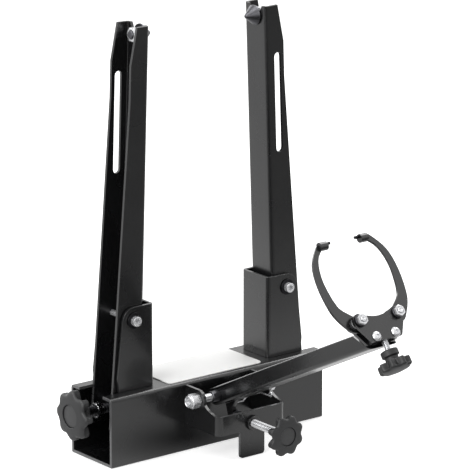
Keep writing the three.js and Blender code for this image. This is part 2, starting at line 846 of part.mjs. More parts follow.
function armBracketSolid() {
  const seat = -HALF_DEPTH - SEAT;
  const front = ARM_BRACKET_Y;
  const earTop = ARM_PIVOT_Z + EAR_RADIUS;
  const plan = filleted([
    [-EAR_HALF, seat],
    [-EAR_HALF, front, ARM_BRACKET_FOLD],
    [EAR_HALF, front, ARM_BRACKET_FOLD],
    [EAR_HALF, seat],
    [EAR_HALF - SHEET, seat],
    [EAR_HALF - SHEET, front + SHEET, ARM_BRACKET_FOLD - SHEET],
    [-EAR_HALF + SHEET, front + SHEET, ARM_BRACKET_FOLD - SHEET],
    [-EAR_HALF + SHEET, seat],
  ]);
  const frontTop = ARM_BRACKET_LOW + ARM_BRACKET_FRONT;
  const earEnd = arc(
    ARM_PIVOT_Y, ARM_PIVOT_Z, EAR_RADIUS, Math.PI / 2, Math.PI + EAR_TURN, CORNER_STEPS
  );
  const [lastY, lastZ] = earEnd.at(-1);
  const sweep = new THREE.QuadraticBezierCurve(
    new THREE.Vector2(lastY, lastZ),
    new THREE.Vector2(
      THREE.MathUtils.lerp(lastY, front, earSweepShares.across),
      THREE.MathUtils.lerp(frontTop, lastZ, earSweepShares.up)
    ),
    new THREE.Vector2(front + SHEET, frontTop)
  ).getPoints(CORNER_STEPS);
  const side = outline([
    [seat + OVERRUN, ARM_BRACKET_LOW],
    [seat + OVERRUN, earTop],
    ...earEnd,
    ...sweep.slice(1).map((point) => [point.x, point.y]),
    [front - OVERRUN, frontTop],
    [front - OVERRUN, ARM_BRACKET_LOW],
  ]);
  const tab = filleted([
    [-FOOT_TAB_WIDTH / 2, 0, FOOT_TAB_CORNER],
    [FOOT_TAB_WIDTH / 2, 0, FOOT_TAB_CORNER],
    [FOOT_TAB_WIDTH / 2, ARM_BRACKET_LOW + SHEET],
    [-FOOT_TAB_WIDTH / 2, ARM_BRACKET_LOW + SHEET],
  ]);
  return prism('z', plan, 0, earTop + OVERRUN)
    .intersect(prism('x', side, -EAR_HALF - OVERRUN, EAR_HALF + OVERRUN))
    .add(prism('y', tab, front, front + SHEET))
    .subtract(
      rod('x', ARM_BOLT + FIT, -EAR_HALF - OVERRUN, EAR_HALF + OVERRUN, [0, ARM_PIVOT_Y, ARM_PIVOT_Z])
    )
    .subtract(
      rod('y', HEIGHT_COLLAR + FIT, front - OVERRUN, front + SHEET + OVERRUN, [0, 0, HEIGHT_Z])
    );
}

{
  place(part, 'arm_bracket', armBracketSolid(), PAINT);

  const bolt = group(part, 0, ARM_PIVOT_Y, ARM_PIVOT_Z);
  const face = EAR_HALF + SEAT;
  const headEnd = face + ARM_BOLT_HEAD;
  const nutEnd = -face - ARM_LOCK_NUT;
  const tail = nutEnd + ARM_BOLT_SUNK;
  place(
    bolt,
    'arm_pivot_bolt',
    hexagon('x', ARM_NUT_FLATS, face, headEnd).add(rod('x', ARM_BOLT, tail, headEnd - SHEET)),
    STEEL
  );
  place(
    bolt,
    'arm_pivot_nut',
    hexagon('x', ARM_NUT_FLATS, nutEnd, -face).subtract(
      rod('x', ARM_BOLT + FIT, nutEnd - OVERRUN, -face + OVERRUN)
    ),
    STEEL
  );

  const nutHalf = HEIGHT_NUT_WIDTH / 2;
  const inside = ARM_BRACKET_Y + SHEET + SEAT;
  const at = [0, 0, HEIGHT_Z];
  place(
    part,
    'height_screw_nut',
    block(-nutHalf, nutHalf, inside, inside + HEIGHT_NUT_LENGTH, HEIGHT_Z - nutHalf, HEIGHT_Z + nutHalf)
      .add(rod('y', HEIGHT_COLLAR, ARM_BRACKET_Y - HEIGHT_COLLAR_OUT, inside + SHEET, at))
      .subtract(
        rod('y', HEIGHT_SCREW + FIT, ARM_BRACKET_Y - OVERRUN, inside + HEIGHT_NUT_LENGTH + OVERRUN, at)
      ),
    PAINT
  );
}

// Height screw and the pad on its end that pushes the cam of the arm

{
  const screw = group(part, 0, 0, HEIGHT_Z);
  const padFace = ARM_PIVOT_Y - HEIGHT_CONTACT - FIT;
  const padBack = padFace - HEIGHT_PAD_LENGTH;
  place(
    screw,
    'height_pad',
    rod('y', HEIGHT_PAD, padBack, padFace).subtract(
      rod('y', HEIGHT_SPIGOT + FIT, padBack - OVERRUN, padBack + HEIGHT_SPIGOT_LENGTH + FIT)
    ),
    DARK_STEEL
  );

  const knobFace = ARM_BRACKET_Y - HEIGHT_KNOB_OUT;
  const hubEnd = knobFace + HEIGHT_KNOB_RADIUS * knobShares.length;
  const shoulder = padBack - FIT;
  place(screw, 'height_screw', turned('y', [
    [0, hubEnd - KNOB_BORE],
    [HEIGHT_SCREW, hubEnd - KNOB_BORE],
    [HEIGHT_SCREW, shoulder],
    [HEIGHT_SPIGOT, shoulder],
    [HEIGHT_SPIGOT, shoulder + HEIGHT_SPIGOT_LENGTH],
    [0, shoulder + HEIGHT_SPIGOT_LENGTH],
  ]), STEEL);

  const facing = group(screw, 0, knobFace, 0);
  facing.rotation.x = Math.PI / 2;
  place(
    facing,
    'height_knob',
    knob(HEIGHT_KNOB_RADIUS, knobShares, HEIGHT_SCREW + FIT, KNOB_BORE + FIT, true),
    PLASTIC
  );
  place(facing, 'height_knob_cap', knobCap(HEIGHT_KNOB_RADIUS), CAP_PLASTIC);
}

// Caliper arm in its own frame: it runs along -y from its pivot, open at the top

const arm = group(part, 0, ARM_PIVOT_Y, ARM_PIVOT_Z);
arm.rotation.x = -ARM_RAISE;

const HEAD_TO_ARM = new THREE.Matrix4()
  .makeRotationX(HEAD_TURN)
  .setPosition(0, -HEAD_REACH, HEAD_LIFT);

function armSolid() {
  const plan = channel(ARM_HALF, ARM_UNDERSIDE, ARM_TOP, FOLD);
  const side = filleted([
    [ARM_TAIL, ARM_TOP, ARM_TAIL_CORNER],
    [-(ARM_LENGTH - ARM_END_SLOPE), ARM_TOP],
    [-ARM_LENGTH, ARM_UNDERSIDE],
    [ARM_TAIL, ARM_UNDERSIDE, ARM_TAIL_CORNER],
  ]);
  const screwWay = rod('y', JAW_SCREW + 2 * FIT, -JAW_REACH, 0, [0, 0, JAW_AXIS]);
  return prism('y', plan, -ARM_LENGTH - OVERRUN, ARM_TAIL + OVERRUN)
    .intersect(prism('x', side, -ARM_HALF - OVERRUN, ARM_HALF + OVERRUN))
    .subtract(rod('x', BUSH_RADIUS + FIT, -ARM_HALF - OVERRUN, ARM_HALF + OVERRUN))
    .subtract(moved(screwWay, HEAD_TO_ARM));
}

// The cam is the involute of a circle about the arm's pivot, so the flat pad moves it evenly
function camSolid() {
  const edge = [];
  for (let i = 0; i <= CAM_STEPS; i += 1) {
    const lift = THREE.MathUtils.lerp(-ARM_DOWN, ARM_UP + CAM_SPARE, i / CAM_STEPS);
    const contact = -HEIGHT_CONTACT - HEIGHT_LEVER * lift;
    const turn = ARM_RAISE + lift;
    edge.push([
      contact * Math.cos(turn) + HEIGHT_LEVER * Math.sin(turn),
      contact * Math.sin(turn) - HEIGHT_LEVER * Math.cos(turn),
    ]);
  }
  const seat = ARM_UNDERSIDE - FIT;
  const shape = outline([
    [HEIGHT_LEVER * camShares.rootFront, seat],
    [HEIGHT_LEVER * camShares.waistFront, HEIGHT_LEVER * camShares.waistDrop],
    ...edge,
    [HEIGHT_LEVER * camShares.tip, HEIGHT_LEVER * camShares.tipDrop],
    [HEIGHT_LEVER * camShares.heel, HEIGHT_LEVER * camShares.heelDrop],
    [ARM_TAIL - FIT, seat],
  ]);
  return prism('x', shape, -CAM_SHEET / 2, CAM_SHEET / 2);
}

// The return spring: a hooked leg under the tail of the arm, the turns round the bush, and a leg
// that runs level to the front and ends in a curl
function springSolid() {
  const coil = BUSH_RADIUS + 2 * FIT + SPRING_WIRE;
  const start = ARM_HALF + FIT + 2 * SPRING_WIRE;
  const turns = Math.floor((BUSH_RIGHT - start - 2 * SPRING_WIRE) / SPRING_PITCH);
  const under = ARM_UNDERSIDE - SPRING_WIRE - FIT * 2;
  const path = [
    new THREE.Vector3(ARM_HALF - SPRING_HOOK, SPRING_TAIL_LEG, under),
    new THREE.Vector3(ARM_HALF - SPRING_WIRE, SPRING_TAIL_LEG, under),
    new THREE.Vector3(start, SPRING_TAIL_LEG - 2 * SPRING_WIRE, -coil - SPRING_WIRE),
  ];
  const steps = turns * SPRING_STEPS - 1;
  for (let i = 0; i <= steps; i += 1) {
    const angle = (2 * Math.PI * i) / SPRING_STEPS;
    path.push(new THREE.Vector3(
      start + (SPRING_PITCH * i) / SPRING_STEPS,
      -coil * Math.sin(angle),
      -coil * Math.cos(angle)
    ));
  }
  const forward = new THREE.Vector3(0, -Math.cos(ARM_RAISE), -Math.sin(ARM_RAISE));
  const upward = new THREE.Vector3(0, -Math.sin(ARM_RAISE), Math.cos(ARM_RAISE));
  const level = (ahead, rise) =>
    new THREE.Vector3(start + SPRING_PITCH * turns, 0, 0)
      .addScaledVector(forward, ahead)
      .addScaledVector(upward, rise - coil);
  path.push(level(0, 0), level(SPRING_FRONT_LEG / 2, 0));
  for (let i = 0; i <= SPRING_CURL_STEPS; i += 1) {
    const angle = (SPRING_CURL_TURN * i) / SPRING_CURL_STEPS;
    const ahead = SPRING_FRONT_LEG + SPRING_CURL * Math.sin(angle);
    path.push(level(ahead, SPRING_CURL * (1 - Math.cos(angle))));
  }
  const curve = new THREE.CatmullRomCurve3(path, false, 'centripetal');
  console.log('arm_return_spring: least gap between turns', SPRING_PITCH - 2 * SPRING_WIRE, 'mm');
  const section = outline(arc(0, 0, SPRING_WIRE, 0, 2 * Math.PI, SPRING_SIDES).slice(0, -1));
  return solidOf(
    new THREE.ExtrudeGeometry(section, {
      extrudePath: curve,
      steps: steps + SPRING_LEG_STEPS,
      bevelEnabled: false,
    })
  );
}

place(arm, 'caliper_arm', armSolid(), PAINT);
place(arm, 'arm_tail_cam', camSolid(), PAINT);
place(
  arm,
  'arm_pivot_bush',
  tube('x', BUSH_RADIUS, ARM_BOLT + FIT, -BUSH_LEFT, BUSH_RIGHT),
  DARK_STEEL
);
place(arm, 'arm_return_spring', springSolid(), STEEL);

// Caliper head in its own frame: x across, y up the jaws, z out of the front plate

const head = group(arm, 0, -HEAD_REACH, HEAD_LIFT);
head.rotation.x = HEAD_TURN;

function headOutline() {
  const side = tangentAngle(HEAD_BOTTOM_HALF - JAW_PIVOT_HALF, -HEAD_BOTTOM, HEAD_EAR);
  const right = arc(JAW_PIVOT_HALF, 0, HEAD_EAR, side, EAR_END, CORNER_STEPS);
  const left = right.map(([x, y]) => [-x, y]).reverse();
  const [endX, endY] = right.at(-1);
  const dip = new THREE.QuadraticBezierCurve(
    new THREE.Vector2(endX, endY),
    new THREE.Vector2(0, 2 * HEAD_DIP - endY),
    new THREE.Vector2(-endX, endY)
  ).getPoints(CORNER_STEPS).slice(1, -1);
  return filleted([
    [-HEAD_BOTTOM_HALF, -HEAD_BOTTOM, HEAD_CORNER],
    [HEAD_BOTTOM_HALF, -HEAD_BOTTOM, HEAD_CORNER],
    ...right,
    ...dip.map((point) => [point.x, point.y]),
    ...left,
  ]);
}

function headPlateSolid() {
  let plate = prism('z', headOutline(), -SHEET, 0);
  for (const side of [-1, 1]) {
    plate = plate.subtract(
      rod('z', JAW_BUSH + FIT, -SHEET - OVERRUN, OVERRUN, [side * JAW_PIVOT_HALF, 0, 0])
    );
    plate = plate.subtract(
      rod('z', HEAD_BOLT + FIT, -SHEET - OVERRUN, OVERRUN, [side * HEAD_BOLT_HALF, -HEAD_BOLT_DROP, 0])
    );
  }
  return plate;
}

// The neck lies in the end of the arm, so it is drawn in the arm's frame and turned into the head's
function neckSolid() {
  const half = ARM_HALF - SHEET - FIT;
  const floor = ARM_UNDERSIDE + SHEET + FIT;
  const plan = channel(half, floor, floor + HEAD_NECK_HEIGHT, FOLD);
  const front = -HEAD_REACH;
  return moved(prism('y', plan, front, front + HEAD_NECK_LENGTH), HEAD_TO_ARM.clone().invert());
}

function headBracketSolid() {
  const front = BACK_PLATE + SHEET;
  const wide = HEAD_BOTTOM_HALF + JAW_PIVOT_HALF;
  const reach = HEAD_BOTTOM + JAW_REACH;
  const ahead = block(-wide, wide, -reach, reach, front - SHEET / 2, reach);
  const flangeBack = -SHEET - FIT - HEAD_FLANGE_DEPTH;
  let solid = neckSolid()
    .subtract(ahead)
    .add(prism('z', headOutline(), BACK_PLATE, front))
    .add(block(
      -HEAD_FLANGE_HALF,
      HEAD_FLANGE_HALF,
      -HEAD_BOTTOM,
      -HEAD_BOTTOM + SHEET,
      flangeBack,
      -SHEET - FIT
    ));
  for (const side of [-1, 1]) {
    const at = [side * HEAD_BOLT_HALF, -HEAD_BOLT_DROP, 0];
    solid = solid.add(rod('z', HEAD_STANDOFF, front - SHEET / 2, -SHEET - FIT, at));
    solid = solid.subtract(rod('z', HEAD_BOLT + FIT, BACK_PLATE - OVERRUN, OVERRUN, at));
    solid = solid.subtract(
      rod('z', JAW_BOLT + FIT, BACK_PLATE - OVERRUN, OVERRUN, [side * JAW_PIVOT_HALF, 0, 0])
    );
  }
  return solid.subtract(
    rod('y', JAW_SCREW + FIT, -HEAD_BOTTOM - OVERRUN, -HEAD_BOTTOM + SHEET + OVERRUN, [0, 0, JAW_AXIS])
  );
}

place(head, 'head_plate', headPlateSolid(), PAINT);
place(head, 'head_bracket', headBracketSolid(), PAINT);

for (const [side, sign, layer] of [['left', -1, LEFT_JAW_LAYER], ['right', 1, RIGHT_JAW_LAYER]]) {
  const pivot = group(head, sign * JAW_PIVOT_HALF, 0, 0);
  const backFace = BACK_PLATE + SHEET + FIT;
  const other = layer === RIGHT_JAW_LAYER ? LEFT_JAW_LAYER : RIGHT_JAW_LAYER;
  place(
    pivot,
    `${side}_jaw_bush`,
    tube('z', JAW_BUSH, JAW_BOLT + FIT, backFace, 0).add(
      tube('z', JAW_SHOULDER, JAW_BOLT + FIT, other, other + JAW_SHEET)
    ),
    STEEL
  );
  place(
    pivot,
    `${side}_jaw_collar`,
    tube('z', JAW_COLLAR, JAW_BOLT + FIT, FIT, FIT + JAW_COLLAR_HEIGHT),
    DARK_STEEL
  );
  const headSeat = 2 * FIT + JAW_COLLAR_HEIGHT;
  const nutFace = BACK_PLATE - FIT;
  const nutEnd = nutFace - JAW_NUT_HEIGHT;
  place(
    pivot,
    `${side}_jaw_bolt`,
    hexagon('z', JAW_BOLT_FLATS, headSeat, headSeat + JAW_BOLT_HEAD).add(
      rod('z', JAW_BOLT, nutEnd - SHEET / 2, headSeat + JAW_BOLT_HEAD / 2)
    ),
    STEEL
  );
  place(
    pivot,
    `${side}_jaw_nut`,
    hexagon('z', JAW_BOLT_FLATS, nutEnd, nutFace).subtract(
      rod('z', JAW_BOLT + FIT, nutEnd - OVERRUN, nutFace + OVERRUN)
    ),
    STEEL
  );

  const clamp = group(head, sign * HEAD_BOLT_HALF, -HEAD_BOLT_DROP, 0);
  const rim = HEAD_BOLT_HEAD * knobShares.shoulder;
  place(
    clamp,
    `${side}_head_bolt`,
    turned('z', [
      [0, BACK_PLATE - FIT],
      [HEAD_BOLT, BACK_PLATE - FIT],
      [HEAD_BOLT, FIT],
      [HEAD_BOLT_HEAD, FIT],
      [HEAD_BOLT_HEAD, 2 * FIT],
      [rim, HEAD_BOLT_DOME],
      [0, HEAD_BOLT_DOME + FIT],
    ]).subtract(rod('z', HEAD_BOLT / 2 + FIT, HEAD_BOLT_DOME / 2, HEAD_BOLT_DOME + OVERRUN, [0, 0, 0], 6)),
    STEEL
  );
}

// Jaws. The outline is the right one's: the nose by the crosshead, the outer edge up to the
// tip, and the inner edge back down.

function jawOutline(sign) {
  const neck = NOSE_RADIUS * jawShares.neck;
  const nose = arc(NOSE_HALF, -NOSE_DROP, NOSE_RADIUS, NOSE_TURN, 2 * Math.PI - NOSE_TURN, CORNER_STEPS);
  const stem = JAW_PIVOT_HALF - JAW_SHOULDER;
  const curve = (shares) => new THREE.SplineCurve(
    shares.map(([x, y]) => new THREE.Vector2(x * JAW_REACH, y * JAW_REACH))
  ).getPoints(shares.length * 2).map((point) => [point.x, point.y]);
  const points = [
    [stem - NOSE_RADIUS, -NOSE_DROP + neck],
    ...nose,
    [stem - NOSE_RADIUS, -NOSE_DROP - neck],
    [stem, -NOSE_DROP - NOSE_RADIUS],
    ...curve(jawShares.outer),
    ...curve(jawShares.inner),
    [stem, 0],
  ];
  return outline(points.map(([x, y]) => [sign * x, y]));
}

for (const [side, sign, layer] of [['left', -1, LEFT_JAW_LAYER], ['right', 1, RIGHT_JAW_LAYER]]) {
  const frame = group(head, 0, 0, 0);
  const pivotAt = [sign * JAW_PIVOT_HALF, 0, 0];
  place(
    frame,
    `${side}_jaw`,
    prism('z', jawOutline(sign), layer, layer + JAW_SHEET).subtract(
      rod('z', JAW_BUSH + FIT, layer - OVERRUN, layer + JAW_SHEET + OVERRUN, pivotAt)
    ),
    PAINT
  );

  const bossEnds = [sign * FEELER_INNER, sign * FEELER_OUTER].sort((a, b) => a - b);
  const slotEnds = [sign * FEELER_SLOT, sign * (FEELER_OUTER + OVERRUN)].sort((a, b) => a - b);
  const pinHeight = JAW_REACH + FEELER_PIN_LIFT;
  const pinAt = [0, pinHeight, JAW_AXIS];
  const boreEnds = [sign * (FEELER_INNER - OVERRUN), sign * (FEELER_INNER + FEELER_PIN_SEAT)];
  place(
    frame,
    `${side}_feeler_boss`,
    rod('x', FEELER_RADIUS, ...bossEnds, [0, JAW_REACH, JAW_AXIS])
      .subtract(block(
        ...slotEnds,
        JAW_REACH - FEELER_RADIUS - OVERRUN,
        JAW_REACH + FEELER_RADIUS + OVERRUN,
        layer - FIT,
        layer + JAW_SHEET + FIT
      ))
      .subtract(rod('x', FEELER_PIN + FIT, ...boreEnds.sort((a, b) => a - b), pinAt)),
    PAINT
  );
  const pinEnds = [sign * FEELER_PIN_TIP, sign * (FEELER_INNER + FEELER_PIN_SEAT - FIT)];
  place(
    frame,
    `${side}_feeler_pin`,
    rod('x', FEELER_PIN, ...pinEnds.sort((a, b) => a - b), pinAt),
    STEEL
  );
}

// Crosshead that holds the noses of both jaws, and the screw that draws it down

{
  const slotTop = -NOSE_DROP + NOSE_RADIUS + NOSE_GAP;
  const slotFoot = -NOSE_DROP - NOSE_RADIUS - NOSE_GAP;
  const foot = slotFoot - CROSSHEAD_LOW_BAR;
  const right = [
    [CROSSHEAD_LOW_HALF, foot],
    [CROSSHEAD_LOW_HALF, slotFoot],
    [CROSSHEAD_WAIST_HALF, slotFoot],
    [CROSSHEAD_WAIST_HALF, slotTop],
    [CROSSHEAD_HALF, slotTop],
    [CROSSHEAD_HALF, slotTop + CROSSHEAD_BAR],
  ];
  const left = right.map(([x, y]) => [-x, y]).reverse();
  const bore = rod('y', JAW_SPIGOT + FIT, foot - OVERRUN, foot + JAW_SPIGOT_LENGTH, [0, 0, JAW_AXIS]);
  place(
    head,
    'jaw_crosshead',
    prism('z', outline([...right, ...left]), LEFT_JAW_LAYER, RIGHT_JAW_LAYER + JAW_SHEET).subtract(bore),
    DARK_STEEL
  );

  const screw = group(head, 0, 0, JAW_AXIS);
  const shoulder = foot - FIT;
  const hubEnd = -JAW_KNOB_FACE + JAW_KNOB_RADIUS * jawKnobShares.length;
  place(screw, 'jaw_screw', turned('y', [
    [0, hubEnd - KNOB_BORE],
    [JAW_SCREW, hubEnd - KNOB_BORE],
    [JAW_SCREW, shoulder],
    [JAW_SPIGOT, shoulder],
    [JAW_SPIGOT, shoulder + JAW_SPIGOT_LENGTH],
    [0, shoulder + JAW_SPIGOT_LENGTH],
  ]), STEEL);
  const facing = group(screw, 0, -JAW_KNOB_FACE, 0);
  facing.rotation.x = Math.PI / 2;
  place(
    facing,
    'jaw_knob',
    knob(JAW_KNOB_RADIUS, jawKnobShares, JAW_SCREW + FIT, KNOB_BORE + FIT, false),
    PLASTIC
  );
}

export default part;
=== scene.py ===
import json
import math

import bmesh
import bpy
from mathutils import Matrix, Vector


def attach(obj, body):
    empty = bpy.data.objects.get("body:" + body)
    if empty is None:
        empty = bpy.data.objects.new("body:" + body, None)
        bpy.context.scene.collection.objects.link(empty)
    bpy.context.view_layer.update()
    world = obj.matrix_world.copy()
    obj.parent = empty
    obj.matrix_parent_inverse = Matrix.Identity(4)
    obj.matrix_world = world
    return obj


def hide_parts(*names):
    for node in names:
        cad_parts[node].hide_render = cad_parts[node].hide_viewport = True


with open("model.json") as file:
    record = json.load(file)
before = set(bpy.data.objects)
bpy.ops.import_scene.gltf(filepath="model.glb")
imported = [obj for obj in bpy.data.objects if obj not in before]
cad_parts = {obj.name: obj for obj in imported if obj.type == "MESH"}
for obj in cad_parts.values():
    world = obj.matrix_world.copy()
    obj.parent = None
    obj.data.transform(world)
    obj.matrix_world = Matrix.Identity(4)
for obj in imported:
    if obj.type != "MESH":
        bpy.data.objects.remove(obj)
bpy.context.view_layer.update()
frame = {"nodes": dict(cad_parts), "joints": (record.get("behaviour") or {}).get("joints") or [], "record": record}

# Sizes are millimetres unless a name ends in _M; MM turns them into the frame's metres
PER_METRE = 1000
MM = Matrix.Scale(1 / PER_METRE, 4)

# Camera, fitted to the photograph
CAMERA_AZIMUTH = math.radians(-38.12)
CAMERA_ELEVATION = math.radians(15.49)
CAMERA_LENS = 287.4
SENSOR = 36
CAMERA_RIGHT = 36.01
CAMERA_UP = 197.90
CAMERA_BACK = 3739.27
CAMERA_REACH_M = 100

# Eased edges, and the share of painted highlight on them
SHEET_EDGE = 0.35
FINE_EDGE = 0.2
ARM_EDGE = 0.8
EDGE_SEGMENTS = 2
ARM_SEGMENTS = 3
LONG_SIDE = 100
CUT_WIDTH = 3.4
CUT_SHARE = 0.8
# Painted highlight: how far each piece's cut and eased edges are lightened towards a grey
EDGE_HIGHLIGHT = {
    "arm_bracket": 1.0, "caliper_arm": 1.0, "base_channel": 0.7, "base_floor_plate": 0.7,
    "head_plate": 0.3, "head_bracket": 0.3, "right_bracket": 0.2,
}
LITTLE_EDGE_HIGHLIGHT = 0.06
SHARP_ANGLE = math.radians(34)
FLAT_ANGLE = math.radians(0.5)
FLAT_WEIGHT = 80
CAD_MERGE = 0.002
MERGE = 0.001

# Threads; depth and crest are shares of the pitch
ROD_PITCH = 3.0
M8_PITCH = 1.25
M6_PITCH = 1.0
THREAD_TURN = 20
THREAD_DEPTH = 0.6
THREAD_CREST = (0.42, 0.58)

# Bolts and nuts
M8_SHANK = 4
M8_BORE = 4.3
M8_FLATS = 13
M6_SHANK = 3
M6_BORE = 3.3
M6_FLATS = 10
NUT_CHAMFER = 0.5
STUD_EDGE = 0.5

# Knobs
LOBES = 8
LOBE_WIDTH = 1.25
KNOB_SEGMENTS = 12 * LOBES
CAP_SHARE = 0.44

# Round pieces
SEGMENTS = 48
HEX = math.radians(60)
CHAMFER_SLOPE = math.tan(math.radians(30))
HEX_LAND = 0.95

# Colours, linear
PAINT_COLOUR = (0.0058, 0.0059, 0.0063, 1)
# Painted highlight: the lighter grey of cut and eased edges
EDGE_HIGHLIGHT_COLOUR = (0.11, 0.11, 0.113, 1)
ZINC_COLOUR = (0.72, 0.725, 0.74, 1)
DARK_COLOUR = (0.10, 0.10, 0.108, 1)
BLACK_STEEL = (0.022, 0.022, 0.024, 1)
KNOB_COLOUR = (0.016, 0.0163, 0.017, 1)
CAP_COLOUR = (0.027, 0.0273, 0.028, 1)
WHITE_COLOUR = (0.88, 0.88, 0.87, 1)
PURE_WHITE = (1, 1, 1, 1)

# Noise patterns: scale per metre and detail
COAT_DRIFT = (14, 3)
COAT_PEEL = (620, 2)
COAT_GRAIN = (2600, 2)
COAT_PATCHES = (90, 3)
STEEL_CLOUD = (60, 3)
STEEL_MARKS = (900, 3)
OXIDE_SPECKS = (700, 2)
PLASTIC_HANDLING = (45, 4)
PLASTIC_GRAIN = (1500, 2)
ENAMEL_CLOUD = (22, 4)
ENAMEL_PEEL = (500, 2)
NOISE_ROUGHNESS = 0.5
NOISE_SPAN = (0.3, 0.7)
EVEN = (1, 1, 1)
DRAWN_OUT = (1, 1, 0.15)

# Bumps: strength and depth in metres
COAT_PEEL_BUMP = (0.10, 0.0006)
COAT_GRAIN_BUMP = (0.05, 0.0002)
STEEL_BUMP = (0.12, 0.00015)
PLASTIC_BUMP = (0.18, 0.0003)
ENAMEL_BUMP = (0.05, 0.0004)

# Tints: factors on a colour
COAT_TINT = (0.85, 1.2)
STEEL_TINT = (0.82, 1.12)
OXIDE_TINT = 0.7
PLASTIC_TINT = (0.88, 1.15)
ENAMEL_TINT = 0.96

# Gloss: roughness, or what it drifts below and above its own value
COAT_ROUGHNESS = 0.28
COAT_GLOSS = (0.23, 0.33)
COAT_IOR = 1.52
COAT_LAYER = 0.35
COAT_LAYER_ROUGHNESS = 0.12
EDGE_HIGHLIGHT_PATCHES = (0.75, 1.0)
STEEL_GLOSS = (0.06, 0.12)
OXIDE_ROUGHNESS = 0.3
SPECK_SPAN = (0.56, 0.64)
PLASTIC_GLOSS = (0.05, 0.08)
ENAMEL_ROUGHNESS = 0.38
ENAMEL_GLOSS = (0.32, 0.46)

joints = {joint["name"]: joint for joint in frame["joints"]}
mounts = {mount["name"]: mount for mount in frame["record"]["mounts"]}
body_of = {
    node: body
    for body, nodes in frame["record"]["behaviour"]["bodies"].items()
    for node in nodes
}


# Places: each turns a piece's own millimetres into the frame's

def joint_place(name):
    return Matrix.Translation(Vector(joints[name]["pos_m"]) * PER_METRE)


LEAN = math.asin(-mounts["right_cone_tip"]["axis"][2])
ARM_RAISE = math.radians(26.15)
BASE = Matrix.Identity(4)
RIGHT_UPRIGHT = joint_place("right_upright_tilt") @ Matrix.Rotation(-LEAN, 4, "Y")
LEFT_UPRIGHT = Matrix.Rotation(math.pi, 4, "Z") @ RIGHT_UPRIGHT
ARM = joint_place("arm_lift") @ Matrix.Rotation(-ARM_RAISE, 4, "X")
HEAD_AXIS = Vector(joints["right_jaw_swing"]["axis"])
HEAD_TILT = math.atan2(-HEAD_AXIS.y, HEAD_AXIS.z)
HEAD = joint_place("right_jaw_swing")
HEAD.translation.x = 0
HEAD = HEAD @ Matrix.Rotation(HEAD_TILT, 4, "X")

QUARTER_TURN = math.radians(90)
TO_RIGHT = Matrix.Rotation(QUARTER_TURN, 4, "Y")
TO_LEFT = Matrix.Rotation(-QUARTER_TURN, 4, "Y")
TO_BACK = Matrix.Rotation(-QUARTER_TURN, 4, "X")
TO_FRONT = Matrix.Rotation(QUARTER_TURN, 4, "X")


def measured(node, place=BASE):
    """The lowest and highest corner of a CAD node in a place's own millimetres."""
    inward = (MM @ place).inverted()
    points = [inward @ vertex.co for vertex in frame["nodes"][node].data.vertices]
    low = Vector(min(point[axis] for point in points) for axis in range(3))
    high = Vector(max(point[axis] for point in points) for axis in range(3))
    return low, high


# Finishes

def new_finish(name, colour, roughness, metallic=0.0):
    finish = bpy.data.materials.new(name)
    finish.use_nodes = True
    shader = finish.node_tree.nodes["Principled BSDF"]
    shader.inputs["Base Color"].default_value = colour
    shader.inputs["Roughness"].default_value = roughness
    shader.inputs["Metallic"].default_value = metallic
    finish.diffuse_color = colour
    return finish, shader


def add_node(finish, kind, inputs=None, **settings):
    node = finish.node_tree.nodes.new(kind)
    for name, value in settings.items():
        setattr(node, name, value)
    for name, value in (inputs or {}).items():
        node.inputs[name].default_value = value
    return node


def link(finish, output, target):
    finish.node_tree.links.new(output, target)


def noise(finish, scale, detail, stretch=EVEN):
    """Noise on the object's own coordinates, stretched along the wear or the grain."""
    place = add_node(finish, "ShaderNodeTexCoord")
    mapping = add_node(finish, "ShaderNodeMapping", {"Scale": stretch})
    texture = add_node(finish, "ShaderNodeTexNoise", {
        "Scale": scale,
        "Detail": detail,
        "Roughness": NOISE_ROUGHNESS,
    })
    link(finish, place.outputs["Object"], mapping.inputs["Vector"])
    link(finish, mapping.outputs["Vector"], texture.inputs["Vector"])
    return texture.outputs["Fac"]


def ranged(finish, value, source, target):
    """Carries a value from one range to another."""
    remap = add_node(finish, "ShaderNodeMapRange", {
        "From Min": source[0],
        "From Max": source[1],
        "To Min": target[0],
        "To Max": target[1],
    })
    link(finish, value, remap.inputs["Value"])
    return remap.outputs["Result"]


def spread(finish, value, low, high):
    """Stretches a noise pattern between two values."""
    return ranged(finish, value, NOISE_SPAN, (low, high))


def tinted(finish, shader, pattern, dark, light, span=NOISE_SPAN):
    """Varies the base colour between two shades with a pattern."""
    ramp = add_node(finish, "ShaderNodeValToRGB")
    for element, position, colour in zip(ramp.color_ramp.elements, span, (dark, light)):
        element.position = position
        element.color = colour
    link(finish, pattern, ramp.inputs["Fac"])
    link(finish, ramp.outputs["Color"], shader.inputs["Base Color"])
    return ramp.outputs["Color"]


def shade(colour, factor):
    return tuple(min(1.0, part * factor) for part in colour[:3]) + (1,)


def bumped(finish, shader, patterns):
    """Chains bumps, each a (pattern, strength, depth in metres)."""
    normal = None
    for pattern, strength, depth in patterns:
        bump = add_node(finish, "ShaderNodeBump", {"Strength": strength, "Distance": depth})
        link(finish, pattern, bump.inputs["Height"])
        if normal:
            link(finish, normal, bump.inputs["Normal"])
        normal = bump.outputs["Normal"]
    link(finish, normal, shader.inputs["Normal"])


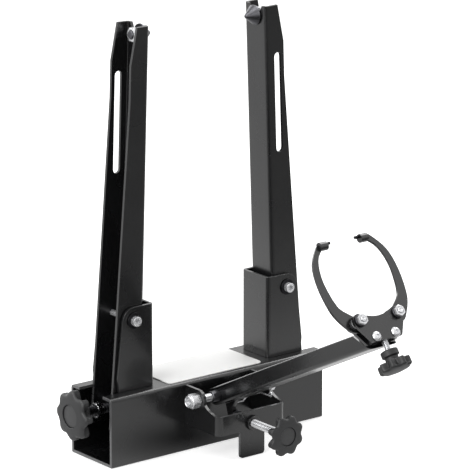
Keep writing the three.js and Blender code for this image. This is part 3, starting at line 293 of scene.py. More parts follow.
def powder_coat():
    """Satin black powder coat: orange peel, a drifting gloss and a painted highlight on cut and eased edges."""
    finish, shader = new_finish("black_powder_coat", PAINT_COLOUR, COAT_ROUGHNESS)
    drift = noise(finish, *COAT_DRIFT)
    peel = noise(finish, *COAT_PEEL)
    grain = noise(finish, *COAT_GRAIN)
    dark, light = (shade(PAINT_COLOUR, factor) for factor in COAT_TINT)
    paint = tinted(finish, shader, drift, dark, light)
    # Painted highlight: cut and eased edges are lightened, in patches, towards a grey
    edge_highlight = add_node(finish, "ShaderNodeAttribute", attribute_name="painted_edge_highlight")
    patchy = add_node(finish, "ShaderNodeMath", operation="MULTIPLY")
    patches = spread(finish, noise(finish, *COAT_PATCHES), *EDGE_HIGHLIGHT_PATCHES)
    link(finish, edge_highlight.outputs["Fac"], patchy.inputs[0])
    link(finish, patches, patchy.inputs[1])
    highlighted = add_node(finish, "ShaderNodeMixRGB", {"Color2": EDGE_HIGHLIGHT_COLOUR})
    link(finish, patchy.outputs["Value"], highlighted.inputs["Fac"])
    link(finish, paint, highlighted.inputs["Color1"])
    link(finish, highlighted.outputs["Color"], shader.inputs["Base Color"])
    link(finish, spread(finish, drift, *COAT_GLOSS), shader.inputs["Roughness"])
    bumped(finish, shader, [(peel, *COAT_PEEL_BUMP), (grain, *COAT_GRAIN_BUMP)])
    shader.inputs["IOR"].default_value = COAT_IOR
    shader.inputs["Coat Weight"].default_value = COAT_LAYER
    shader.inputs["Coat Roughness"].default_value = COAT_LAYER_ROUGHNESS
    return finish


def plated_steel(name, colour, roughness, stretch=EVEN, metallic=1.0):
    """Zinc-plated or blackened steel with fine tool marks."""
    finish, shader = new_finish(name, colour, roughness, metallic)
    cloud = noise(finish, *STEEL_CLOUD)
    marks = noise(finish, *STEEL_MARKS, stretch)
    dark, light = (shade(colour, factor) for factor in STEEL_TINT)
    tinted(finish, shader, cloud, dark, light)
    below, above = STEEL_GLOSS
    gloss = spread(finish, marks, roughness - below, roughness + above)
    link(finish, gloss, shader.inputs["Roughness"])
    bumped(finish, shader, [(marks, *STEEL_BUMP)])
    return finish


def oxide_with_painted_glints():
    """Black oxide on a knurl, with bright zinc specks painted in as glints."""
    finish, shader = new_finish("black_oxide_painted_glints", BLACK_STEEL, OXIDE_ROUGHNESS, metallic=1.0)
    specks = noise(finish, *OXIDE_SPECKS)
    # Painted glints: specks of bright zinc colour in the base colour
    tinted(finish, shader, specks, shade(BLACK_STEEL, OXIDE_TINT), ZINC_COLOUR, SPECK_SPAN)
    bumped(finish, shader, [(specks, *STEEL_BUMP)])
    return finish


def moulded_plastic(name, colour, roughness):
    """Moulded plastic: a fine spark-eroded grain and faint handling marks."""
    finish, shader = new_finish(name, colour, roughness)
    handling = noise(finish, *PLASTIC_HANDLING)
    grain = noise(finish, *PLASTIC_GRAIN)
    dark, light = (shade(colour, factor) for factor in PLASTIC_TINT)
    tinted(finish, shader, handling, dark, light)
    below, above = PLASTIC_GLOSS
    gloss = spread(finish, handling, roughness - below, roughness + above)
    link(finish, gloss, shader.inputs["Roughness"])
    bumped(finish, shader, [(grain, *PLASTIC_BUMP)])
    return finish


def white_enamel():
    """White enamel on the sight plate, with a faint waviness and a trace of handling."""
    finish, shader = new_finish("white_enamel", WHITE_COLOUR, ENAMEL_ROUGHNESS)
    cloud = noise(finish, *ENAMEL_CLOUD)
    peel = noise(finish, *ENAMEL_PEEL)
    tinted(finish, shader, cloud, shade(WHITE_COLOUR, ENAMEL_TINT), WHITE_COLOUR)
    link(finish, spread(finish, cloud, *ENAMEL_GLOSS), shader.inputs["Roughness"])
    bumped(finish, shader, [(peel, *ENAMEL_BUMP)])
    return finish


COAT = powder_coat()
ZINC = plated_steel("bright_zinc", ZINC_COLOUR, roughness=0.24, metallic=0.75)
SCREW_STEEL = plated_steel("bright_screw_steel", ZINC_COLOUR, roughness=0.22, stretch=DRAWN_OUT)
DARK = plated_steel("blackened_steel", DARK_COLOUR, roughness=0.34)
BLACKENED = plated_steel("black_oxide", BLACK_STEEL, roughness=0.36)
PAINTED_GLINT_OXIDE = oxide_with_painted_glints()
KNOB = moulded_plastic("knob_plastic", KNOB_COLOUR, roughness=0.5)
CAP = moulded_plastic("cap_plastic", CAP_COLOUR, roughness=0.44)
WHITE = white_enamel()

FINISH_OF_SLOT = {
    "black_paint": COAT,
    "bright_zinc": ZINC,
    "dark_steel": DARK,
    "knob_plastic": KNOB,
    "cap_plastic": CAP,
    "white_paint": WHITE,
}
slot_of = {entry["node"]: entry["material_slot"] for entry in frame["record"]["subparts"]}


# Finishing a mesh: it is scaled into the frame, coated, and rides with its node's body

def finished(name, mesh, nodes, finish=None):
    piece = bpy.data.objects.new(name, mesh)
    bpy.context.scene.collection.objects.link(piece)
    mesh.materials.clear()
    mesh.materials.append(finish or FINISH_OF_SLOT[slot_of[nodes[0]]])
    mesh.shade_smooth()
    mesh.set_sharp_from_angle(angle=SHARP_ANGLE)
    weighted = piece.modifiers.new("Flat faces stay flat", "WEIGHTED_NORMAL")
    weighted.keep_sharp = True
    weighted.weight = FLAT_WEIGHT
    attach(piece, body_of[nodes[0]])
    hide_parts(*nodes)


def mesh_of(shape, name, place):
    """Writes a bmesh, made in a place's own millimetres, as a mesh in the frame's metres."""
    bmesh.ops.remove_doubles(shape, verts=shape.verts, dist=MERGE)
    bmesh.ops.recalc_face_normals(shape, faces=shape.faces)
    bmesh.ops.transform(shape, matrix=MM @ place, verts=shape.verts)
    mesh = bpy.data.meshes.new(name)
    shape.to_mesh(mesh)
    shape.free()
    return mesh


def bevelled(shape, sides, width, segments, clamped=True):
    return bmesh.ops.bevel(
        shape, geom=sides, offset=width, offset_type="OFFSET", segments=segments, profile=0.5,
        affect="EDGES", clamp_overlap=clamped, material=-1,
    )["faces"]


def sharp_sides(shape):
    return [
        side for side in shape.edges
        if len(side.link_faces) == 2 and side.calc_face_angle() > SHARP_ANGLE
    ]


def eased(node, edge=SHEET_EDGE, long_edge=None):
    """A sheet or machined piece: its CAD flats made whole, its cut edges eased and lightened by a painted
    highlight.
    """
    shape = bmesh.new()
    shape.from_mesh(frame["nodes"][node].data)
    edge_highlight = shape.faces.layers.float.new("painted_edge_highlight")
    highlighted = EDGE_HIGHLIGHT.get(node, LITTLE_EDGE_HIGHLIGHT)
    bmesh.ops.transform(shape, matrix=MM.inverted(), verts=shape.verts)
    bmesh.ops.remove_doubles(shape, verts=shape.verts, dist=CAD_MERGE)
    bmesh.ops.dissolve_limit(
        shape, angle_limit=FLAT_ANGLE, verts=shape.verts, edges=shape.edges
    )
    sharp = set(sharp_sides(shape))
    # Painted highlight: narrow cut faces, and the bevels below, are marked to be lightened
    for face in shape.faces:
        rim = face.calc_perimeter()
        cut = sum(side.calc_length() for side in face.edges if side in sharp)
        if cut > CUT_SHARE * rim and face.calc_area() < CUT_WIDTH * rim / 2:
            face[edge_highlight] = highlighted
    if long_edge:
        long_sides = [side for side in sharp_sides(shape) if side.calc_length() > LONG_SIDE]
        for face in bevelled(shape, long_sides, long_edge, ARM_SEGMENTS, clamped=False):
            face[edge_highlight] = highlighted
    for face in bevelled(shape, sharp_sides(shape), edge, EDGE_SEGMENTS):
        face[edge_highlight] = highlighted
    bmesh.ops.transform(shape, matrix=MM, verts=shape.verts)
    mesh = bpy.data.meshes.new(node + "_eased")
    shape.to_mesh(mesh)
    shape.free()
    finished(node + "_finished", mesh, [node])


# Rings: each gives a radius and a height for an angle round the axis

def round_ring(radius, height):
    return lambda angle: (radius, height)


def hex_reach(flats, angle):
    return flats / 2 / math.cos((angle + HEX / 2) % HEX - HEX / 2)


def hex_ring(flats, height, way):
    """The edge where the flats of a hexagon meet its turned chamfer, towards way."""
    def ring(angle):
        reach = hex_reach(flats, angle)
        return reach, height - way * CHAMFER_SLOPE * (reach - HEX_LAND * flats / 2)
    return ring


def hex_socket(flats, height):
    return lambda angle: (hex_reach(flats, angle), height)


def lobe_ring(radius, height, dip):
    """A ring round the lobes of a knob: dip is how deep the valleys go."""
    def ring(angle):
        valley = ((1 - math.cos(LOBES * angle)) / 2) ** LOBE_WIDTH
        return radius * (1 - dip * valley), height
    return ring


def add_rings(shape, rings, segments=SEGMENTS, closed=False):
    """Stacks rings into a skin; the ends are capped, or joined to each other if closed."""
    def laid(verts, ring):
        for vert in verts:
            angle = math.atan2(vert.co.y, vert.co.x)
            radius, height = ring(angle)
            vert.co = (radius * math.cos(angle), radius * math.sin(angle), height)

    made = bmesh.ops.create_circle(shape, cap_ends=False, radius=1, segments=segments)
    laid(made["verts"], rings[0])
    edges = list(dict.fromkeys(edge for vert in made["verts"] for edge in vert.link_edges))
    first = edges
    for ring in rings[1:]:
        made = bmesh.ops.extrude_edge_only(shape, edges=edges)
        verts = [item for item in made["geom"] if isinstance(item, bmesh.types.BMVert)]
        edges = [item for item in made["geom"] if isinstance(item, bmesh.types.BMEdge)]
        laid(verts, ring)
    if closed:
        bmesh.ops.remove_doubles(shape, verts=shape.verts, dist=MERGE)
    else:
        bmesh.ops.edgeloop_fill(shape, edges=first)
        bmesh.ops.edgeloop_fill(shape, edges=edges)


def turned_piece(node, rings, place, segments=SEGMENTS, closed=False, finish=None):
    shape = bmesh.new()
    add_rings(shape, rings, segments, closed)
    finished(node + "_turned", mesh_of(shape, node, place), [node], finish)


def rounded_rings(radius, start, end, edge, crown, lead):
    """A solid bar with both ends rounded in three steps."""
    return [
        round_ring(radius - edge, start),
        round_ring(radius - crown, start + lead),
        round_ring(radius, start + edge),
        round_ring(radius, end - edge),
        round_ring(radius - crown, end - lead),
        round_ring(radius - edge, end),
    ]


def bored_ring(node, place, bore, radius, start, end, edges, finish=None):
    """A washer, collar or bush: edges are the chamfers at its two ends."""
    turned_piece(node, [
        round_ring(bore, start),
        round_ring(radius - edges[0], start),
        round_ring(radius, start + edges[0]),
        round_ring(radius, end - edges[1]),
        round_ring(radius - edges[1], end),
        round_ring(bore, end),
        round_ring(bore, start),
    ], place, closed=True, finish=finish)


def add_thread(shape, radius, pitch, start, end):
    """A screw thread: one V of its profile is swept round and along, then cut off square."""
    depth = THREAD_DEPTH * pitch
    corners = [
        (radius - depth, 0),
        (radius, THREAD_CREST[0] * pitch),
        (radius, THREAD_CREST[1] * pitch),
        (radius - depth, pitch),
    ]
    thread = bmesh.new()
    verts = [thread.verts.new((across, 0, start - pitch + along)) for across, along in corners]
    edges = [thread.edges.new(pair) for pair in zip(verts, verts[1:])]
    turns = math.ceil((end - start) / pitch) + 2
    bmesh.ops.spin(
        thread, geom=verts + edges, cent=(0, 0, 0), axis=(0, 0, 1),
        dvec=(0, 0, pitch / THREAD_TURN), angle=2 * math.pi * turns, steps=turns * THREAD_TURN,
        use_merge=False,
    )
    bmesh.ops.remove_doubles(thread, verts=thread.verts, dist=MERGE)
    for height, way in ((start, -1), (end, 1)):
        cut = bmesh.ops.bisect_plane(
            thread, geom=list(thread.verts) + list(thread.edges) + list(thread.faces),
            plane_co=(0, 0, height), plane_no=(0, 0, way), clear_outer=True,
        )
        rim = [item for item in cut["geom_cut"] if isinstance(item, bmesh.types.BMEdge)]
        bmesh.ops.edgeloop_fill(thread, edges=rim)
    joined = bpy.data.meshes.new("thread")
    thread.to_mesh(joined)
    thread.free()
    shape.from_mesh(joined)
    bpy.data.meshes.remove(joined)


# Sheet and machined pieces

for node in (
    "base_channel", "base_floor_plate", "left_bracket", "right_bracket", "left_upright",
    "right_upright", "arm_bracket", "head_plate", "head_bracket", "arm_tail_cam",
    "screw_bearing_block", "height_screw_nut",
):
    eased(node)
eased("caliper_arm", long_edge=ARM_EDGE)
for node in ("sight_plate", "left_jaw", "right_jaw", "jaw_crosshead", "left_spread_nut",
             "right_spread_nut"):
    eased(node, FINE_EDGE)


# Axle cones and their nuts

CONE_LENGTH = 12
CONE_POINT = 1.3
CONE_POINT_EDGE = (0.5, 0.3)
CONE_BAND = 1.4
CONE_BAND_EDGE = 0.35
CONE_BACK_EDGE = 0.3


def axle_cone(node, place):
    low, high = measured(node, place)
    middle = (low + high) / 2
    radius = (high.z - low.z) / 2
    tip, tail = low.x, high.x
    seat = tip + CONE_LENGTH
    at = place @ Matrix.Translation((0, 0, middle.z)) @ TO_RIGHT
    turned_piece(node, [
        round_ring(CONE_POINT, tip),
        round_ring(CONE_POINT + CONE_POINT_EDGE[0], tip + CONE_POINT_EDGE[1]),
        round_ring(radius - CONE_BAND_EDGE, seat - CONE_BAND - CONE_BAND_EDGE),
        round_ring(radius, seat - CONE_BAND),
        round_ring(radius, seat - CONE_BACK_EDGE),
        round_ring(radius - CONE_BACK_EDGE, seat),
        round_ring(M8_SHANK, seat),
        round_ring(M8_SHANK, tail - STUD_EDGE),
        round_ring(M8_SHANK - STUD_EDGE, tail),
    ], at)


def hex_nut(node, place, flats, low, high, bore):
    """A nut along the Z axis of its place, with chamfers at both ends and in the bore."""
    turned_piece(node, [
        round_ring(bore, low + NUT_CHAMFER),
        round_ring(bore + NUT_CHAMFER, low),
        round_ring(HEX_LAND * flats / 2, low),
        hex_ring(flats, low, -1),
        hex_ring(flats, high, 1),
        round_ring(HEX_LAND * flats / 2, high),
        round_ring(bore + NUT_CHAMFER, high),
        round_ring(bore, high - NUT_CHAMFER),
        round_ring(bore, low + NUT_CHAMFER),
    ], place, closed=True)


for side, place in (("left", LEFT_UPRIGHT), ("right", RIGHT_UPRIGHT)):
    axle_cone(f"{side}_axle_cone", place)
    node = f"{side}_cone_nut"
    low, high = measured(node, place)
    at = place @ Matrix.Translation((0, 0, (low.z + high.z) / 2)) @ TO_RIGHT
    hex_nut(node, at, M8_FLATS, low.x, high.x, M8_BORE)


# Pivot bolts of the uprights, with their washers and nuts

KNURL_TEETH = 24
KNURL_SEGMENTS = 4 * KNURL_TEETH
KNURL_DEPTH = 0.22
KNURL_LEAD = 0.8
PIVOT_SOCKET = 5.0
PIVOT_SOCKET_DEPTH = 2.6
PIVOT_SOCKET_MOUTH = 0.62
PIVOT_CROWN = (0.7, 0.25)
PIVOT_HEAD_EDGE = 0.3
PIVOT_SINK = 0.05
PIVOT_CORE = 2.5
PIVOT_CORE_LEAD = 1
PIVOT_THREAD = 5.8
PIVOT_RUNOUT = (5.6, 6)
WASHER_EDGES = (0.2, 0.25)


def knurled(radius, height, depth=KNURL_DEPTH):
    return lambda angle: (radius - depth * (1 - math.cos(KNURL_TEETH * angle)) / 2, height)


for side in ("left", "right"):
    node = f"{side}_pivot_bolt"
    low, high = measured(node)
    middle = (low + high) / 2
    at = Matrix.Translation((middle.x, 0, middle.z))
    top, tail = -low.y, -high.y
    under = -measured(f"{side}_pivot_washer")[0].y + PIVOT_SINK
    radius = (high.z - low.z) / 2
    shape = bmesh.new()
    add_rings(shape, [
        hex_socket(PIVOT_SOCKET, top - PIVOT_SOCKET_DEPTH),
        hex_socket(PIVOT_SOCKET, top - PIVOT_HEAD_EDGE),
        round_ring(PIVOT_SOCKET * PIVOT_SOCKET_MOUTH, top),
        round_ring(radius - PIVOT_CROWN[0], top),
        round_ring(radius - PIVOT_CROWN[1], top - PIVOT_HEAD_EDGE),
        knurled(radius, top - KNURL_LEAD),
        knurled(radius, under + PIVOT_HEAD_EDGE),
        round_ring(radius - PIVOT_HEAD_EDGE, under),
        round_ring(M6_SHANK, under),
        round_ring(M6_SHANK, tail + PIVOT_RUNOUT[1]),
        round_ring(PIVOT_CORE, tail + PIVOT_RUNOUT[0]),
        round_ring(PIVOT_CORE, tail + PIVOT_CORE_LEAD),
    ], KNURL_SEGMENTS)
    add_thread(shape, M6_SHANK, M6_PITCH, tail, tail + PIVOT_THREAD)
    finished(f"{node}_turned", mesh_of(shape, node, at @ TO_FRONT), [node])

    node = f"{side}_pivot_washer"
    low, high = measured(node)
    radius = (high.z - low.z) / 2
    bored_ring(node, at @ TO_FRONT, M6_BORE, radius, -high.y, -low.y, WASHER_EDGES, BLACKENED)

    node = f"{side}_pivot_nut"
    low, high = measured(node)
    hex_nut(node, at @ TO_BACK, M6_FLATS, low.y, high.y, M6_BORE)


# Knobs

# Knob outlines: radius, height and valley depth, each a share of the radius
KNOB_CROWN = [
    (0.70, -0.035, 0.0),
    (0.82, -0.055, 0.05),
    (0.92, -0.085, 0.12),
    (0.975, -0.125, 0.14),
    (0.995, -0.165, 0.15),
]
KNOB_RINGS = KNOB_CROWN + [
    (1.00, -0.19, 0.19),
    (1.00, -0.22, 0.30),
    (1.00, -0.30, 0.34),
    (0.995, -0.40, 0.36),
    (0.975, -0.435, 0.37),
    (0.94, -0.44, 0.37),
    (0.90, -0.43, 0.37),
    (0.84, -0.30, 0.33),
    (0.72, -0.24, 0.0),
    (0.46, -0.24, 0.0),
    (0.36, -0.26, 0.0),
    (0.355, -0.47, 0.0),
    (0.40, -0.52, 0.0),
    (0.42, -0.55, 0.0),
    (0.42, -0.70, 0.0),
    (0.40, -0.72, 0.0),
]
# Slimmer and deeper for its radius than the other two
JAW_KNOB_RINGS = KNOB_CROWN + [
    (1.00, -0.19, 0.18),
    (1.00, -0.23, 0.27),
    (1.00, -0.42, 0.30),
    (0.995, -0.56, 0.32),
    (0.975, -0.60, 0.33),
    (0.94, -0.61, 0.33),
    (0.90, -0.60, 0.33),
    (0.84, -0.42, 0.27),
    (0.76, -0.27, 0.0),
    (0.56, -0.27, 0.0),
    (0.41, -0.30, 0.0),
    (0.405, -0.86, 0.0),
    (0.46, -0.91, 0.0),
    (0.525, -0.94, 0.0),
    (0.53, -0.97, 0.0),
    (0.53, -1.25, 0.0),
    (0.50, -1.29, 0.0),
]
CAP_WELL = [(0.05, -0.15, 0.0), (0.455, -0.15, 0.0), (0.455, -0.03, 0.0), (0.47, -0.015, 0.0)]
PLAIN_FACE = [(0.04, 0.0, 0.0), (0.30, -0.006, 0.0), (0.52, -0.018, 0.0)]


def lobed_knob(node, radius, place, shape):
    rings = [
        lobe_ring(share * radius, height * radius, dip)
        for share, height, dip in shape
    ]
    turned_piece(node, rings, place, KNOB_SEGMENTS)


# The cap: heights as shares of the knob's radius, and its crown's radii as shares of its own
CAP_FOOT = -0.145
CAP_RIM = -0.085
CAP_SHOULDER = -0.068
CAP_EDGE = 0.25
CAP_CROWN = [(0.7, -0.056), (0.3, -0.051), (0.05, -0.050)]


def knob_cap(node, radius, place):
    cap = CAP_SHARE * radius
    rings = [
        round_ring(cap, CAP_FOOT * radius),
        round_ring(cap, CAP_RIM * radius),
        round_ring(cap - CAP_EDGE, CAP_SHOULDER * radius),
    ]
    rings += [round_ring(share * cap, height * radius) for share, height in CAP_CROWN]
    turned_piece(node, rings, place)


low, high = measured("spread_knob")
SPREAD_RADIUS = (high.z - low.z) / 2
SPREAD_Z = (high.z + low.z) / 2
spread_face = Matrix.Translation((low.x, 0, SPREAD_Z)) @ TO_LEFT
lobed_knob("spread_knob", SPREAD_RADIUS, spread_face, CAP_WELL + KNOB_RINGS)
knob_cap("spread_knob_cap", SPREAD_RADIUS, spread_face)

low, high = measured("height_knob")
HEIGHT_RADIUS = (high.x - low.x) / 2
HEIGHT_Z = (high.z + low.z) / 2
height_face = Matrix.Translation((0, low.y, HEIGHT_Z)) @ TO_FRONT
half_lobe = Matrix.Rotation(math.pi / LOBES, 4, "Z")
lobed_knob("height_knob", HEIGHT_RADIUS, height_face @ half_lobe, CAP_WELL + KNOB_RINGS)
knob_cap("height_knob_cap", HEIGHT_RADIUS, height_face)

low, high = measured("jaw_knob", HEAD)
JAW_RADIUS = (high.x - low.x) / 2
JAW_AXIS = (high.z + low.z) / 2
jaw_face = HEAD @ Matrix.Translation((0, low.y, JAW_AXIS)) @ TO_FRONT
lobed_knob("jaw_knob", JAW_RADIUS, jaw_face, PLAIN_FACE + JAW_KNOB_RINGS)


# Spread rod, its stop nut and collars

ROD_CORE_INSET = 1.7
ROD_CORE_END = 0.5
ROD_CORE_EDGE = 0.4
ROD_BORE = 5.3
STOP_RADIUS = 7.9
STOP_LAND = 7.2
STOP_TEETH = 0.5
COLLAR_EDGES = (0.5, 0.5)

low, high = measured("spread_rod")
rod_place = Matrix.Translation((0, 0, SPREAD_Z)) @ TO_RIGHT
radius = (high.z - low.z) / 2
core = radius - ROD_CORE_INSET
start, end = low.x + ROD_CORE_END, high.x - ROD_CORE_END
shape = bmesh.new()
add_rings(shape, [
    round_ring(core - ROD_CORE_EDGE, start),
    round_ring(core, start + ROD_CORE_EDGE),
    round_ring(core, end - ROD_CORE_EDGE),
    round_ring(core - ROD_CORE_EDGE, end),
])
add_thread(shape, radius, ROD_PITCH, low.x, high.x)
finished("spread_rod_threaded", mesh_of(shape, "spread_rod", rod_place), ["spread_rod"], BLACKENED)

low, high = measured("rod_stop_nut")
turned_piece("rod_stop_nut", [
    round_ring(ROD_BORE, low.x + NUT_CHAMFER),
    round_ring(ROD_BORE + NUT_CHAMFER, low.x),
    round_ring(STOP_LAND, low.x),
    knurled(STOP_RADIUS, low.x + NUT_CHAMFER, STOP_TEETH),
    knurled(STOP_RADIUS, high.x - NUT_CHAMFER, STOP_TEETH),
    round_ring(STOP_LAND, high.x),
    round_ring(ROD_BORE + NUT_CHAMFER, high.x),
    round_ring(ROD_BORE, high.x - NUT_CHAMFER),
    round_ring(ROD_BORE, low.x + NUT_CHAMFER),
], rod_place, KNURL_SEGMENTS, closed=True, finish=PAINTED_GLINT_OXIDE)

for side in ("left", "right"):
    node = f"{side}_rod_collar"
    low, high = measured(node)
    radius = (high.z - low.z) / 2
    bored_ring(node, rod_place, ROD_BORE, radius, low.x, high.x, COLLAR_EDGES)


# Bolt, nut and bush that carry the arm

ARM_BOLT_HEAD = 9
ARM_BOLT_CORE = (2.9, 3.2)
ARM_BOLT_LEAD = 1.2
ARM_BOLT_THREAD = 9.4
ARM_BOLT_RUNOUT = (9, 9.6)
ARM_BOLT_DIMPLE = (0.4, 0.35)
ARM_BUSH_RADIUS = 5.5
ARM_BUSH_EDGES = (0.4, 0.4)
LOCK_NUT_COLLAR = 2.2
LOCK_NUT_RINGS = [
    # the nylon collar's radius and height above the nut's low end
    (5.9, 1.9),
    (5.85, 0.5),
    (5.5, 0),
    (5.1, 0),
    (4.7, 0.4),
    (4.6, 1.4),
    (M8_BORE, 1.5),
]

arm_pivot = joint_place("arm_lift")
low, high = measured("arm_pivot_bolt", arm_pivot)
shape = bmesh.new()
head_start = high.x - ARM_BOLT_HEAD
add_rings(shape, [
    round_ring(ARM_BOLT_CORE[0], low.x + ARM_BOLT_LEAD),
    round_ring(ARM_BOLT_CORE[1], low.x + ARM_BOLT_RUNOUT[0]),
    round_ring(M8_SHANK, low.x + ARM_BOLT_RUNOUT[1]),
    round_ring(M8_SHANK, head_start),
    round_ring(HEX_LAND * M8_FLATS / 2, head_start),
    hex_ring(M8_FLATS, head_start, -1),
    hex_ring(M8_FLATS, high.x, 1),
    round_ring(HEX_LAND * M8_FLATS / 2, high.x),
    round_ring(M8_SHANK + ARM_BOLT_DIMPLE[0], high.x),
    round_ring(M8_SHANK, high.x - ARM_BOLT_DIMPLE[1]),
])
add_thread(shape, M8_SHANK, M8_PITCH, low.x, low.x + ARM_BOLT_THREAD)
bolt_mesh = mesh_of(shape, "arm_pivot_bolt", arm_pivot @ TO_RIGHT)
finished("arm_pivot_bolt_turned", bolt_mesh, ["arm_pivot_bolt"])

low, high = measured("arm_pivot_nut", arm_pivot)
turned_piece("arm_pivot_nut", [
    round_ring(M8_BORE, high.x - NUT_CHAMFER),
    round_ring(M8_BORE + NUT_CHAMFER, high.x),
    round_ring(HEX_LAND * M8_FLATS / 2, high.x),
    hex_ring(M8_FLATS, high.x, 1),
    hex_ring(M8_FLATS, low.x + LOCK_NUT_COLLAR, -1),
    round_ring(HEX_LAND * M8_FLATS / 2, low.x + LOCK_NUT_COLLAR),
    *(round_ring(reach, low.x + height) for reach, height in LOCK_NUT_RINGS),
    round_ring(M8_BORE, high.x - NUT_CHAMFER),
], arm_pivot @ TO_RIGHT, closed=True)

low, high = measured("arm_pivot_bush", arm_pivot)
bored_ring(
    "arm_pivot_bush", ARM @ TO_RIGHT, M8_BORE, ARM_BUSH_RADIUS, low.x, high.x, ARM_BUSH_EDGES
)


# Return spring: a wire wound round the bush, with a hooked leg under the arm

RUNNING_GAP = 0.3
ARM_HALF = 18
ARM_UNDERSIDE = -8.75
SPRING_WIRE = 0.9
SPRING_PITCH = 2.5
SPRING_COIL = ARM_BUSH_RADIUS + 2 * RUNNING_GAP + SPRING_WIRE
SPRING_TURN_POINTS = 16
SPRING_HOOK = 12
SPRING_TAIL_LEG = 9
SPRING_FRONT_LEG = 17
SPRING_CURL = 1.8
SPRING_CURL_TURN = math.radians(250)
WIRE_ROUNDNESS = 3


def spring_path():
    start = ARM_HALF + RUNNING_GAP + 2 * SPRING_WIRE
    end = measured("arm_pivot_bush", ARM)[1].x
    turns = math.floor((end - start - 2 * SPRING_WIRE) / SPRING_PITCH)
    under = ARM_UNDERSIDE - SPRING_WIRE - 2 * RUNNING_GAP
    points = [
        (ARM_HALF - SPRING_HOOK, SPRING_TAIL_LEG, under),
        (ARM_HALF - SPRING_WIRE, SPRING_TAIL_LEG, under),
        (start, SPRING_TAIL_LEG - 2 * SPRING_WIRE, -SPRING_COIL - SPRING_WIRE),
    ]
    whole = turns - ARM_RAISE / (2 * math.pi)
    steps = round(whole * SPRING_TURN_POINTS)
    for step in range(steps + 1):
        angle = 2 * math.pi * whole * step / steps
        points.append((
            start + SPRING_PITCH * whole * step / steps,
            -SPRING_COIL * math.sin(angle),
            -SPRING_COIL * math.cos(angle),
        ))
    side = start + SPRING_PITCH * turns

    def level(ahead, rise):
        height = rise - SPRING_COIL
        cosine, sine = math.cos(ARM_RAISE), math.sin(ARM_RAISE)
        return (side, -ahead * cosine - height * sine, height * cosine - ahead * sine)

    points.append(level(SPRING_FRONT_LEG / 2, 0))
    for step in range(SPRING_TURN_POINTS + 1):
        angle = SPRING_CURL_TURN * step / SPRING_TURN_POINTS
        points.append(level(
            SPRING_FRONT_LEG + SPRING_CURL * math.sin(angle),
            SPRING_CURL * (1 - math.cos(angle)),
        ))
    return points


def wire_piece(node, points, radius, place):
    curve = bpy.data.curves.new(node, "CURVE")
    curve.dimensions = "3D"
    curve.bevel_depth = radius
    curve.bevel_resolution = WIRE_ROUNDNESS
    curve.use_fill_caps = True
    spline = curve.splines.new("POLY")
    spline.points.add(len(points) - 1)
    for point, target in zip(points, spline.points):
        target.co = (*point, 1)
    holder = bpy.data.objects.new(node, curve)
    shape = bmesh.new()
    shape.from_mesh(bpy.data.meshes.new_from_object(holder))
    bpy.data.objects.remove(holder)
    finished(node + "_wound", mesh_of(shape, node, place), [node])


wire_piece("arm_return_spring", spring_path(), SPRING_WIRE, ARM)


# Height screw and its pad

HEIGHT_CORE = 0.75
HEIGHT_CORE_EDGE = (0.15, 0.4)
HEIGHT_SHOULDER = 1.2
HEIGHT_NOSE = 2
HEIGHT_THREAD_END = 0.2
NOSE_EDGE = 0.3
PAD_BORE = 2.3
PAD_EDGE = 0.5
PAD_CENTRE = 0.2

low, high = measured("height_screw")
height_place = Matrix.Translation((0, 0, HEIGHT_Z)) @ TO_BACK
radius = (high.z - low.z) / 2
pad_low, pad_high = measured("height_pad")
shoulder = pad_low.y - RUNNING_GAP
shape = bmesh.new()
add_rings(shape, [
    round_ring(radius - HEIGHT_CORE - HEIGHT_CORE_EDGE[0], low.y),
    round_ring(radius - HEIGHT_CORE, low.y + HEIGHT_CORE_EDGE[1]),
    round_ring(radius - HEIGHT_CORE, shoulder - HEIGHT_CORE_EDGE[1]),
    round_ring(radius - HEIGHT_SHOULDER, shoulder),
    round_ring(HEIGHT_NOSE, shoulder),
    round_ring(HEIGHT_NOSE, high.y - NOSE_EDGE),
    round_ring(HEIGHT_NOSE - NOSE_EDGE, high.y),
])
add_thread(shape, radius, M8_PITCH, low.y, shoulder - HEIGHT_THREAD_END)
screw_mesh = mesh_of(shape, "height_screw", height_place)
finished("height_screw_threaded", screw_mesh, ["height_screw"], SCREW_STEEL)

radius = (pad_high.z - pad_low.z) / 2
turned_piece("height_pad", [
    round_ring(PAD_BORE, pad_low.y + PAD_BORE),
    round_ring(PAD_BORE, pad_low.y),
    round_ring(radius - PAD_EDGE, pad_low.y),
    round_ring(radius, pad_low.y + PAD_EDGE),
    round_ring(radius, pad_high.y - PAD_EDGE),
    round_ring(radius - PAD_EDGE, pad_high.y),
    round_ring(PAD_CENTRE, pad_high.y),
], height_place)


# Hardware of the head

JAW_BOLT_RISE = 0.9
JAW_BOLT_CORE = (0.75, 0.7)
JAW_BOLT_LEAD = 0.6
JAW_BOLT_THREAD = 7.2
JAW_BOLT_RUNOUT = (7, 7.6)
JAW_BOLT_SEAT = 0.3
# The shank's end in the head: its radius beyond the shank's, and its depth below the rise or top
JAW_BOLT_WELL = [(0.75, 0), (0.35, 0.8), (0, 0.8)]
JAW_BOLT_END = [(-0.05, 0.5), (-0.5, 0), (-1.6, 0.1), (-2.0, 0.5)]
JAW_COLLAR_EDGES = (0.3, 0.4)
HEAD_BOLT_SHANK = 2.5
HEAD_BOLT_POINT = (0.2, 0.3)
HEAD_BOLT_SEAT = 0.3
# The button head: radii as shares of its own, and heights above the plate
HEAD_BOLT_BRIM = [(0.15, HEAD_BOLT_SEAT), (0, 0.5), (0.05, 0.9)]
HEAD_BOLT_DOME = [(0.86, 1.8), (0.66, 2.55), (0.46, 2.95)]
HEAD_BOLT_SOCKET = 3.0
HEAD_BOLT_SOCKET_SPAN = (2.9, 1.5)
# The solids' feeler bosses reach this far too near the rim
BOSS_INSET = 2.2
BOSS_END = (0.4, 0.1, 0.1)
PIN_END = (0.6, 0.15, 0.2)


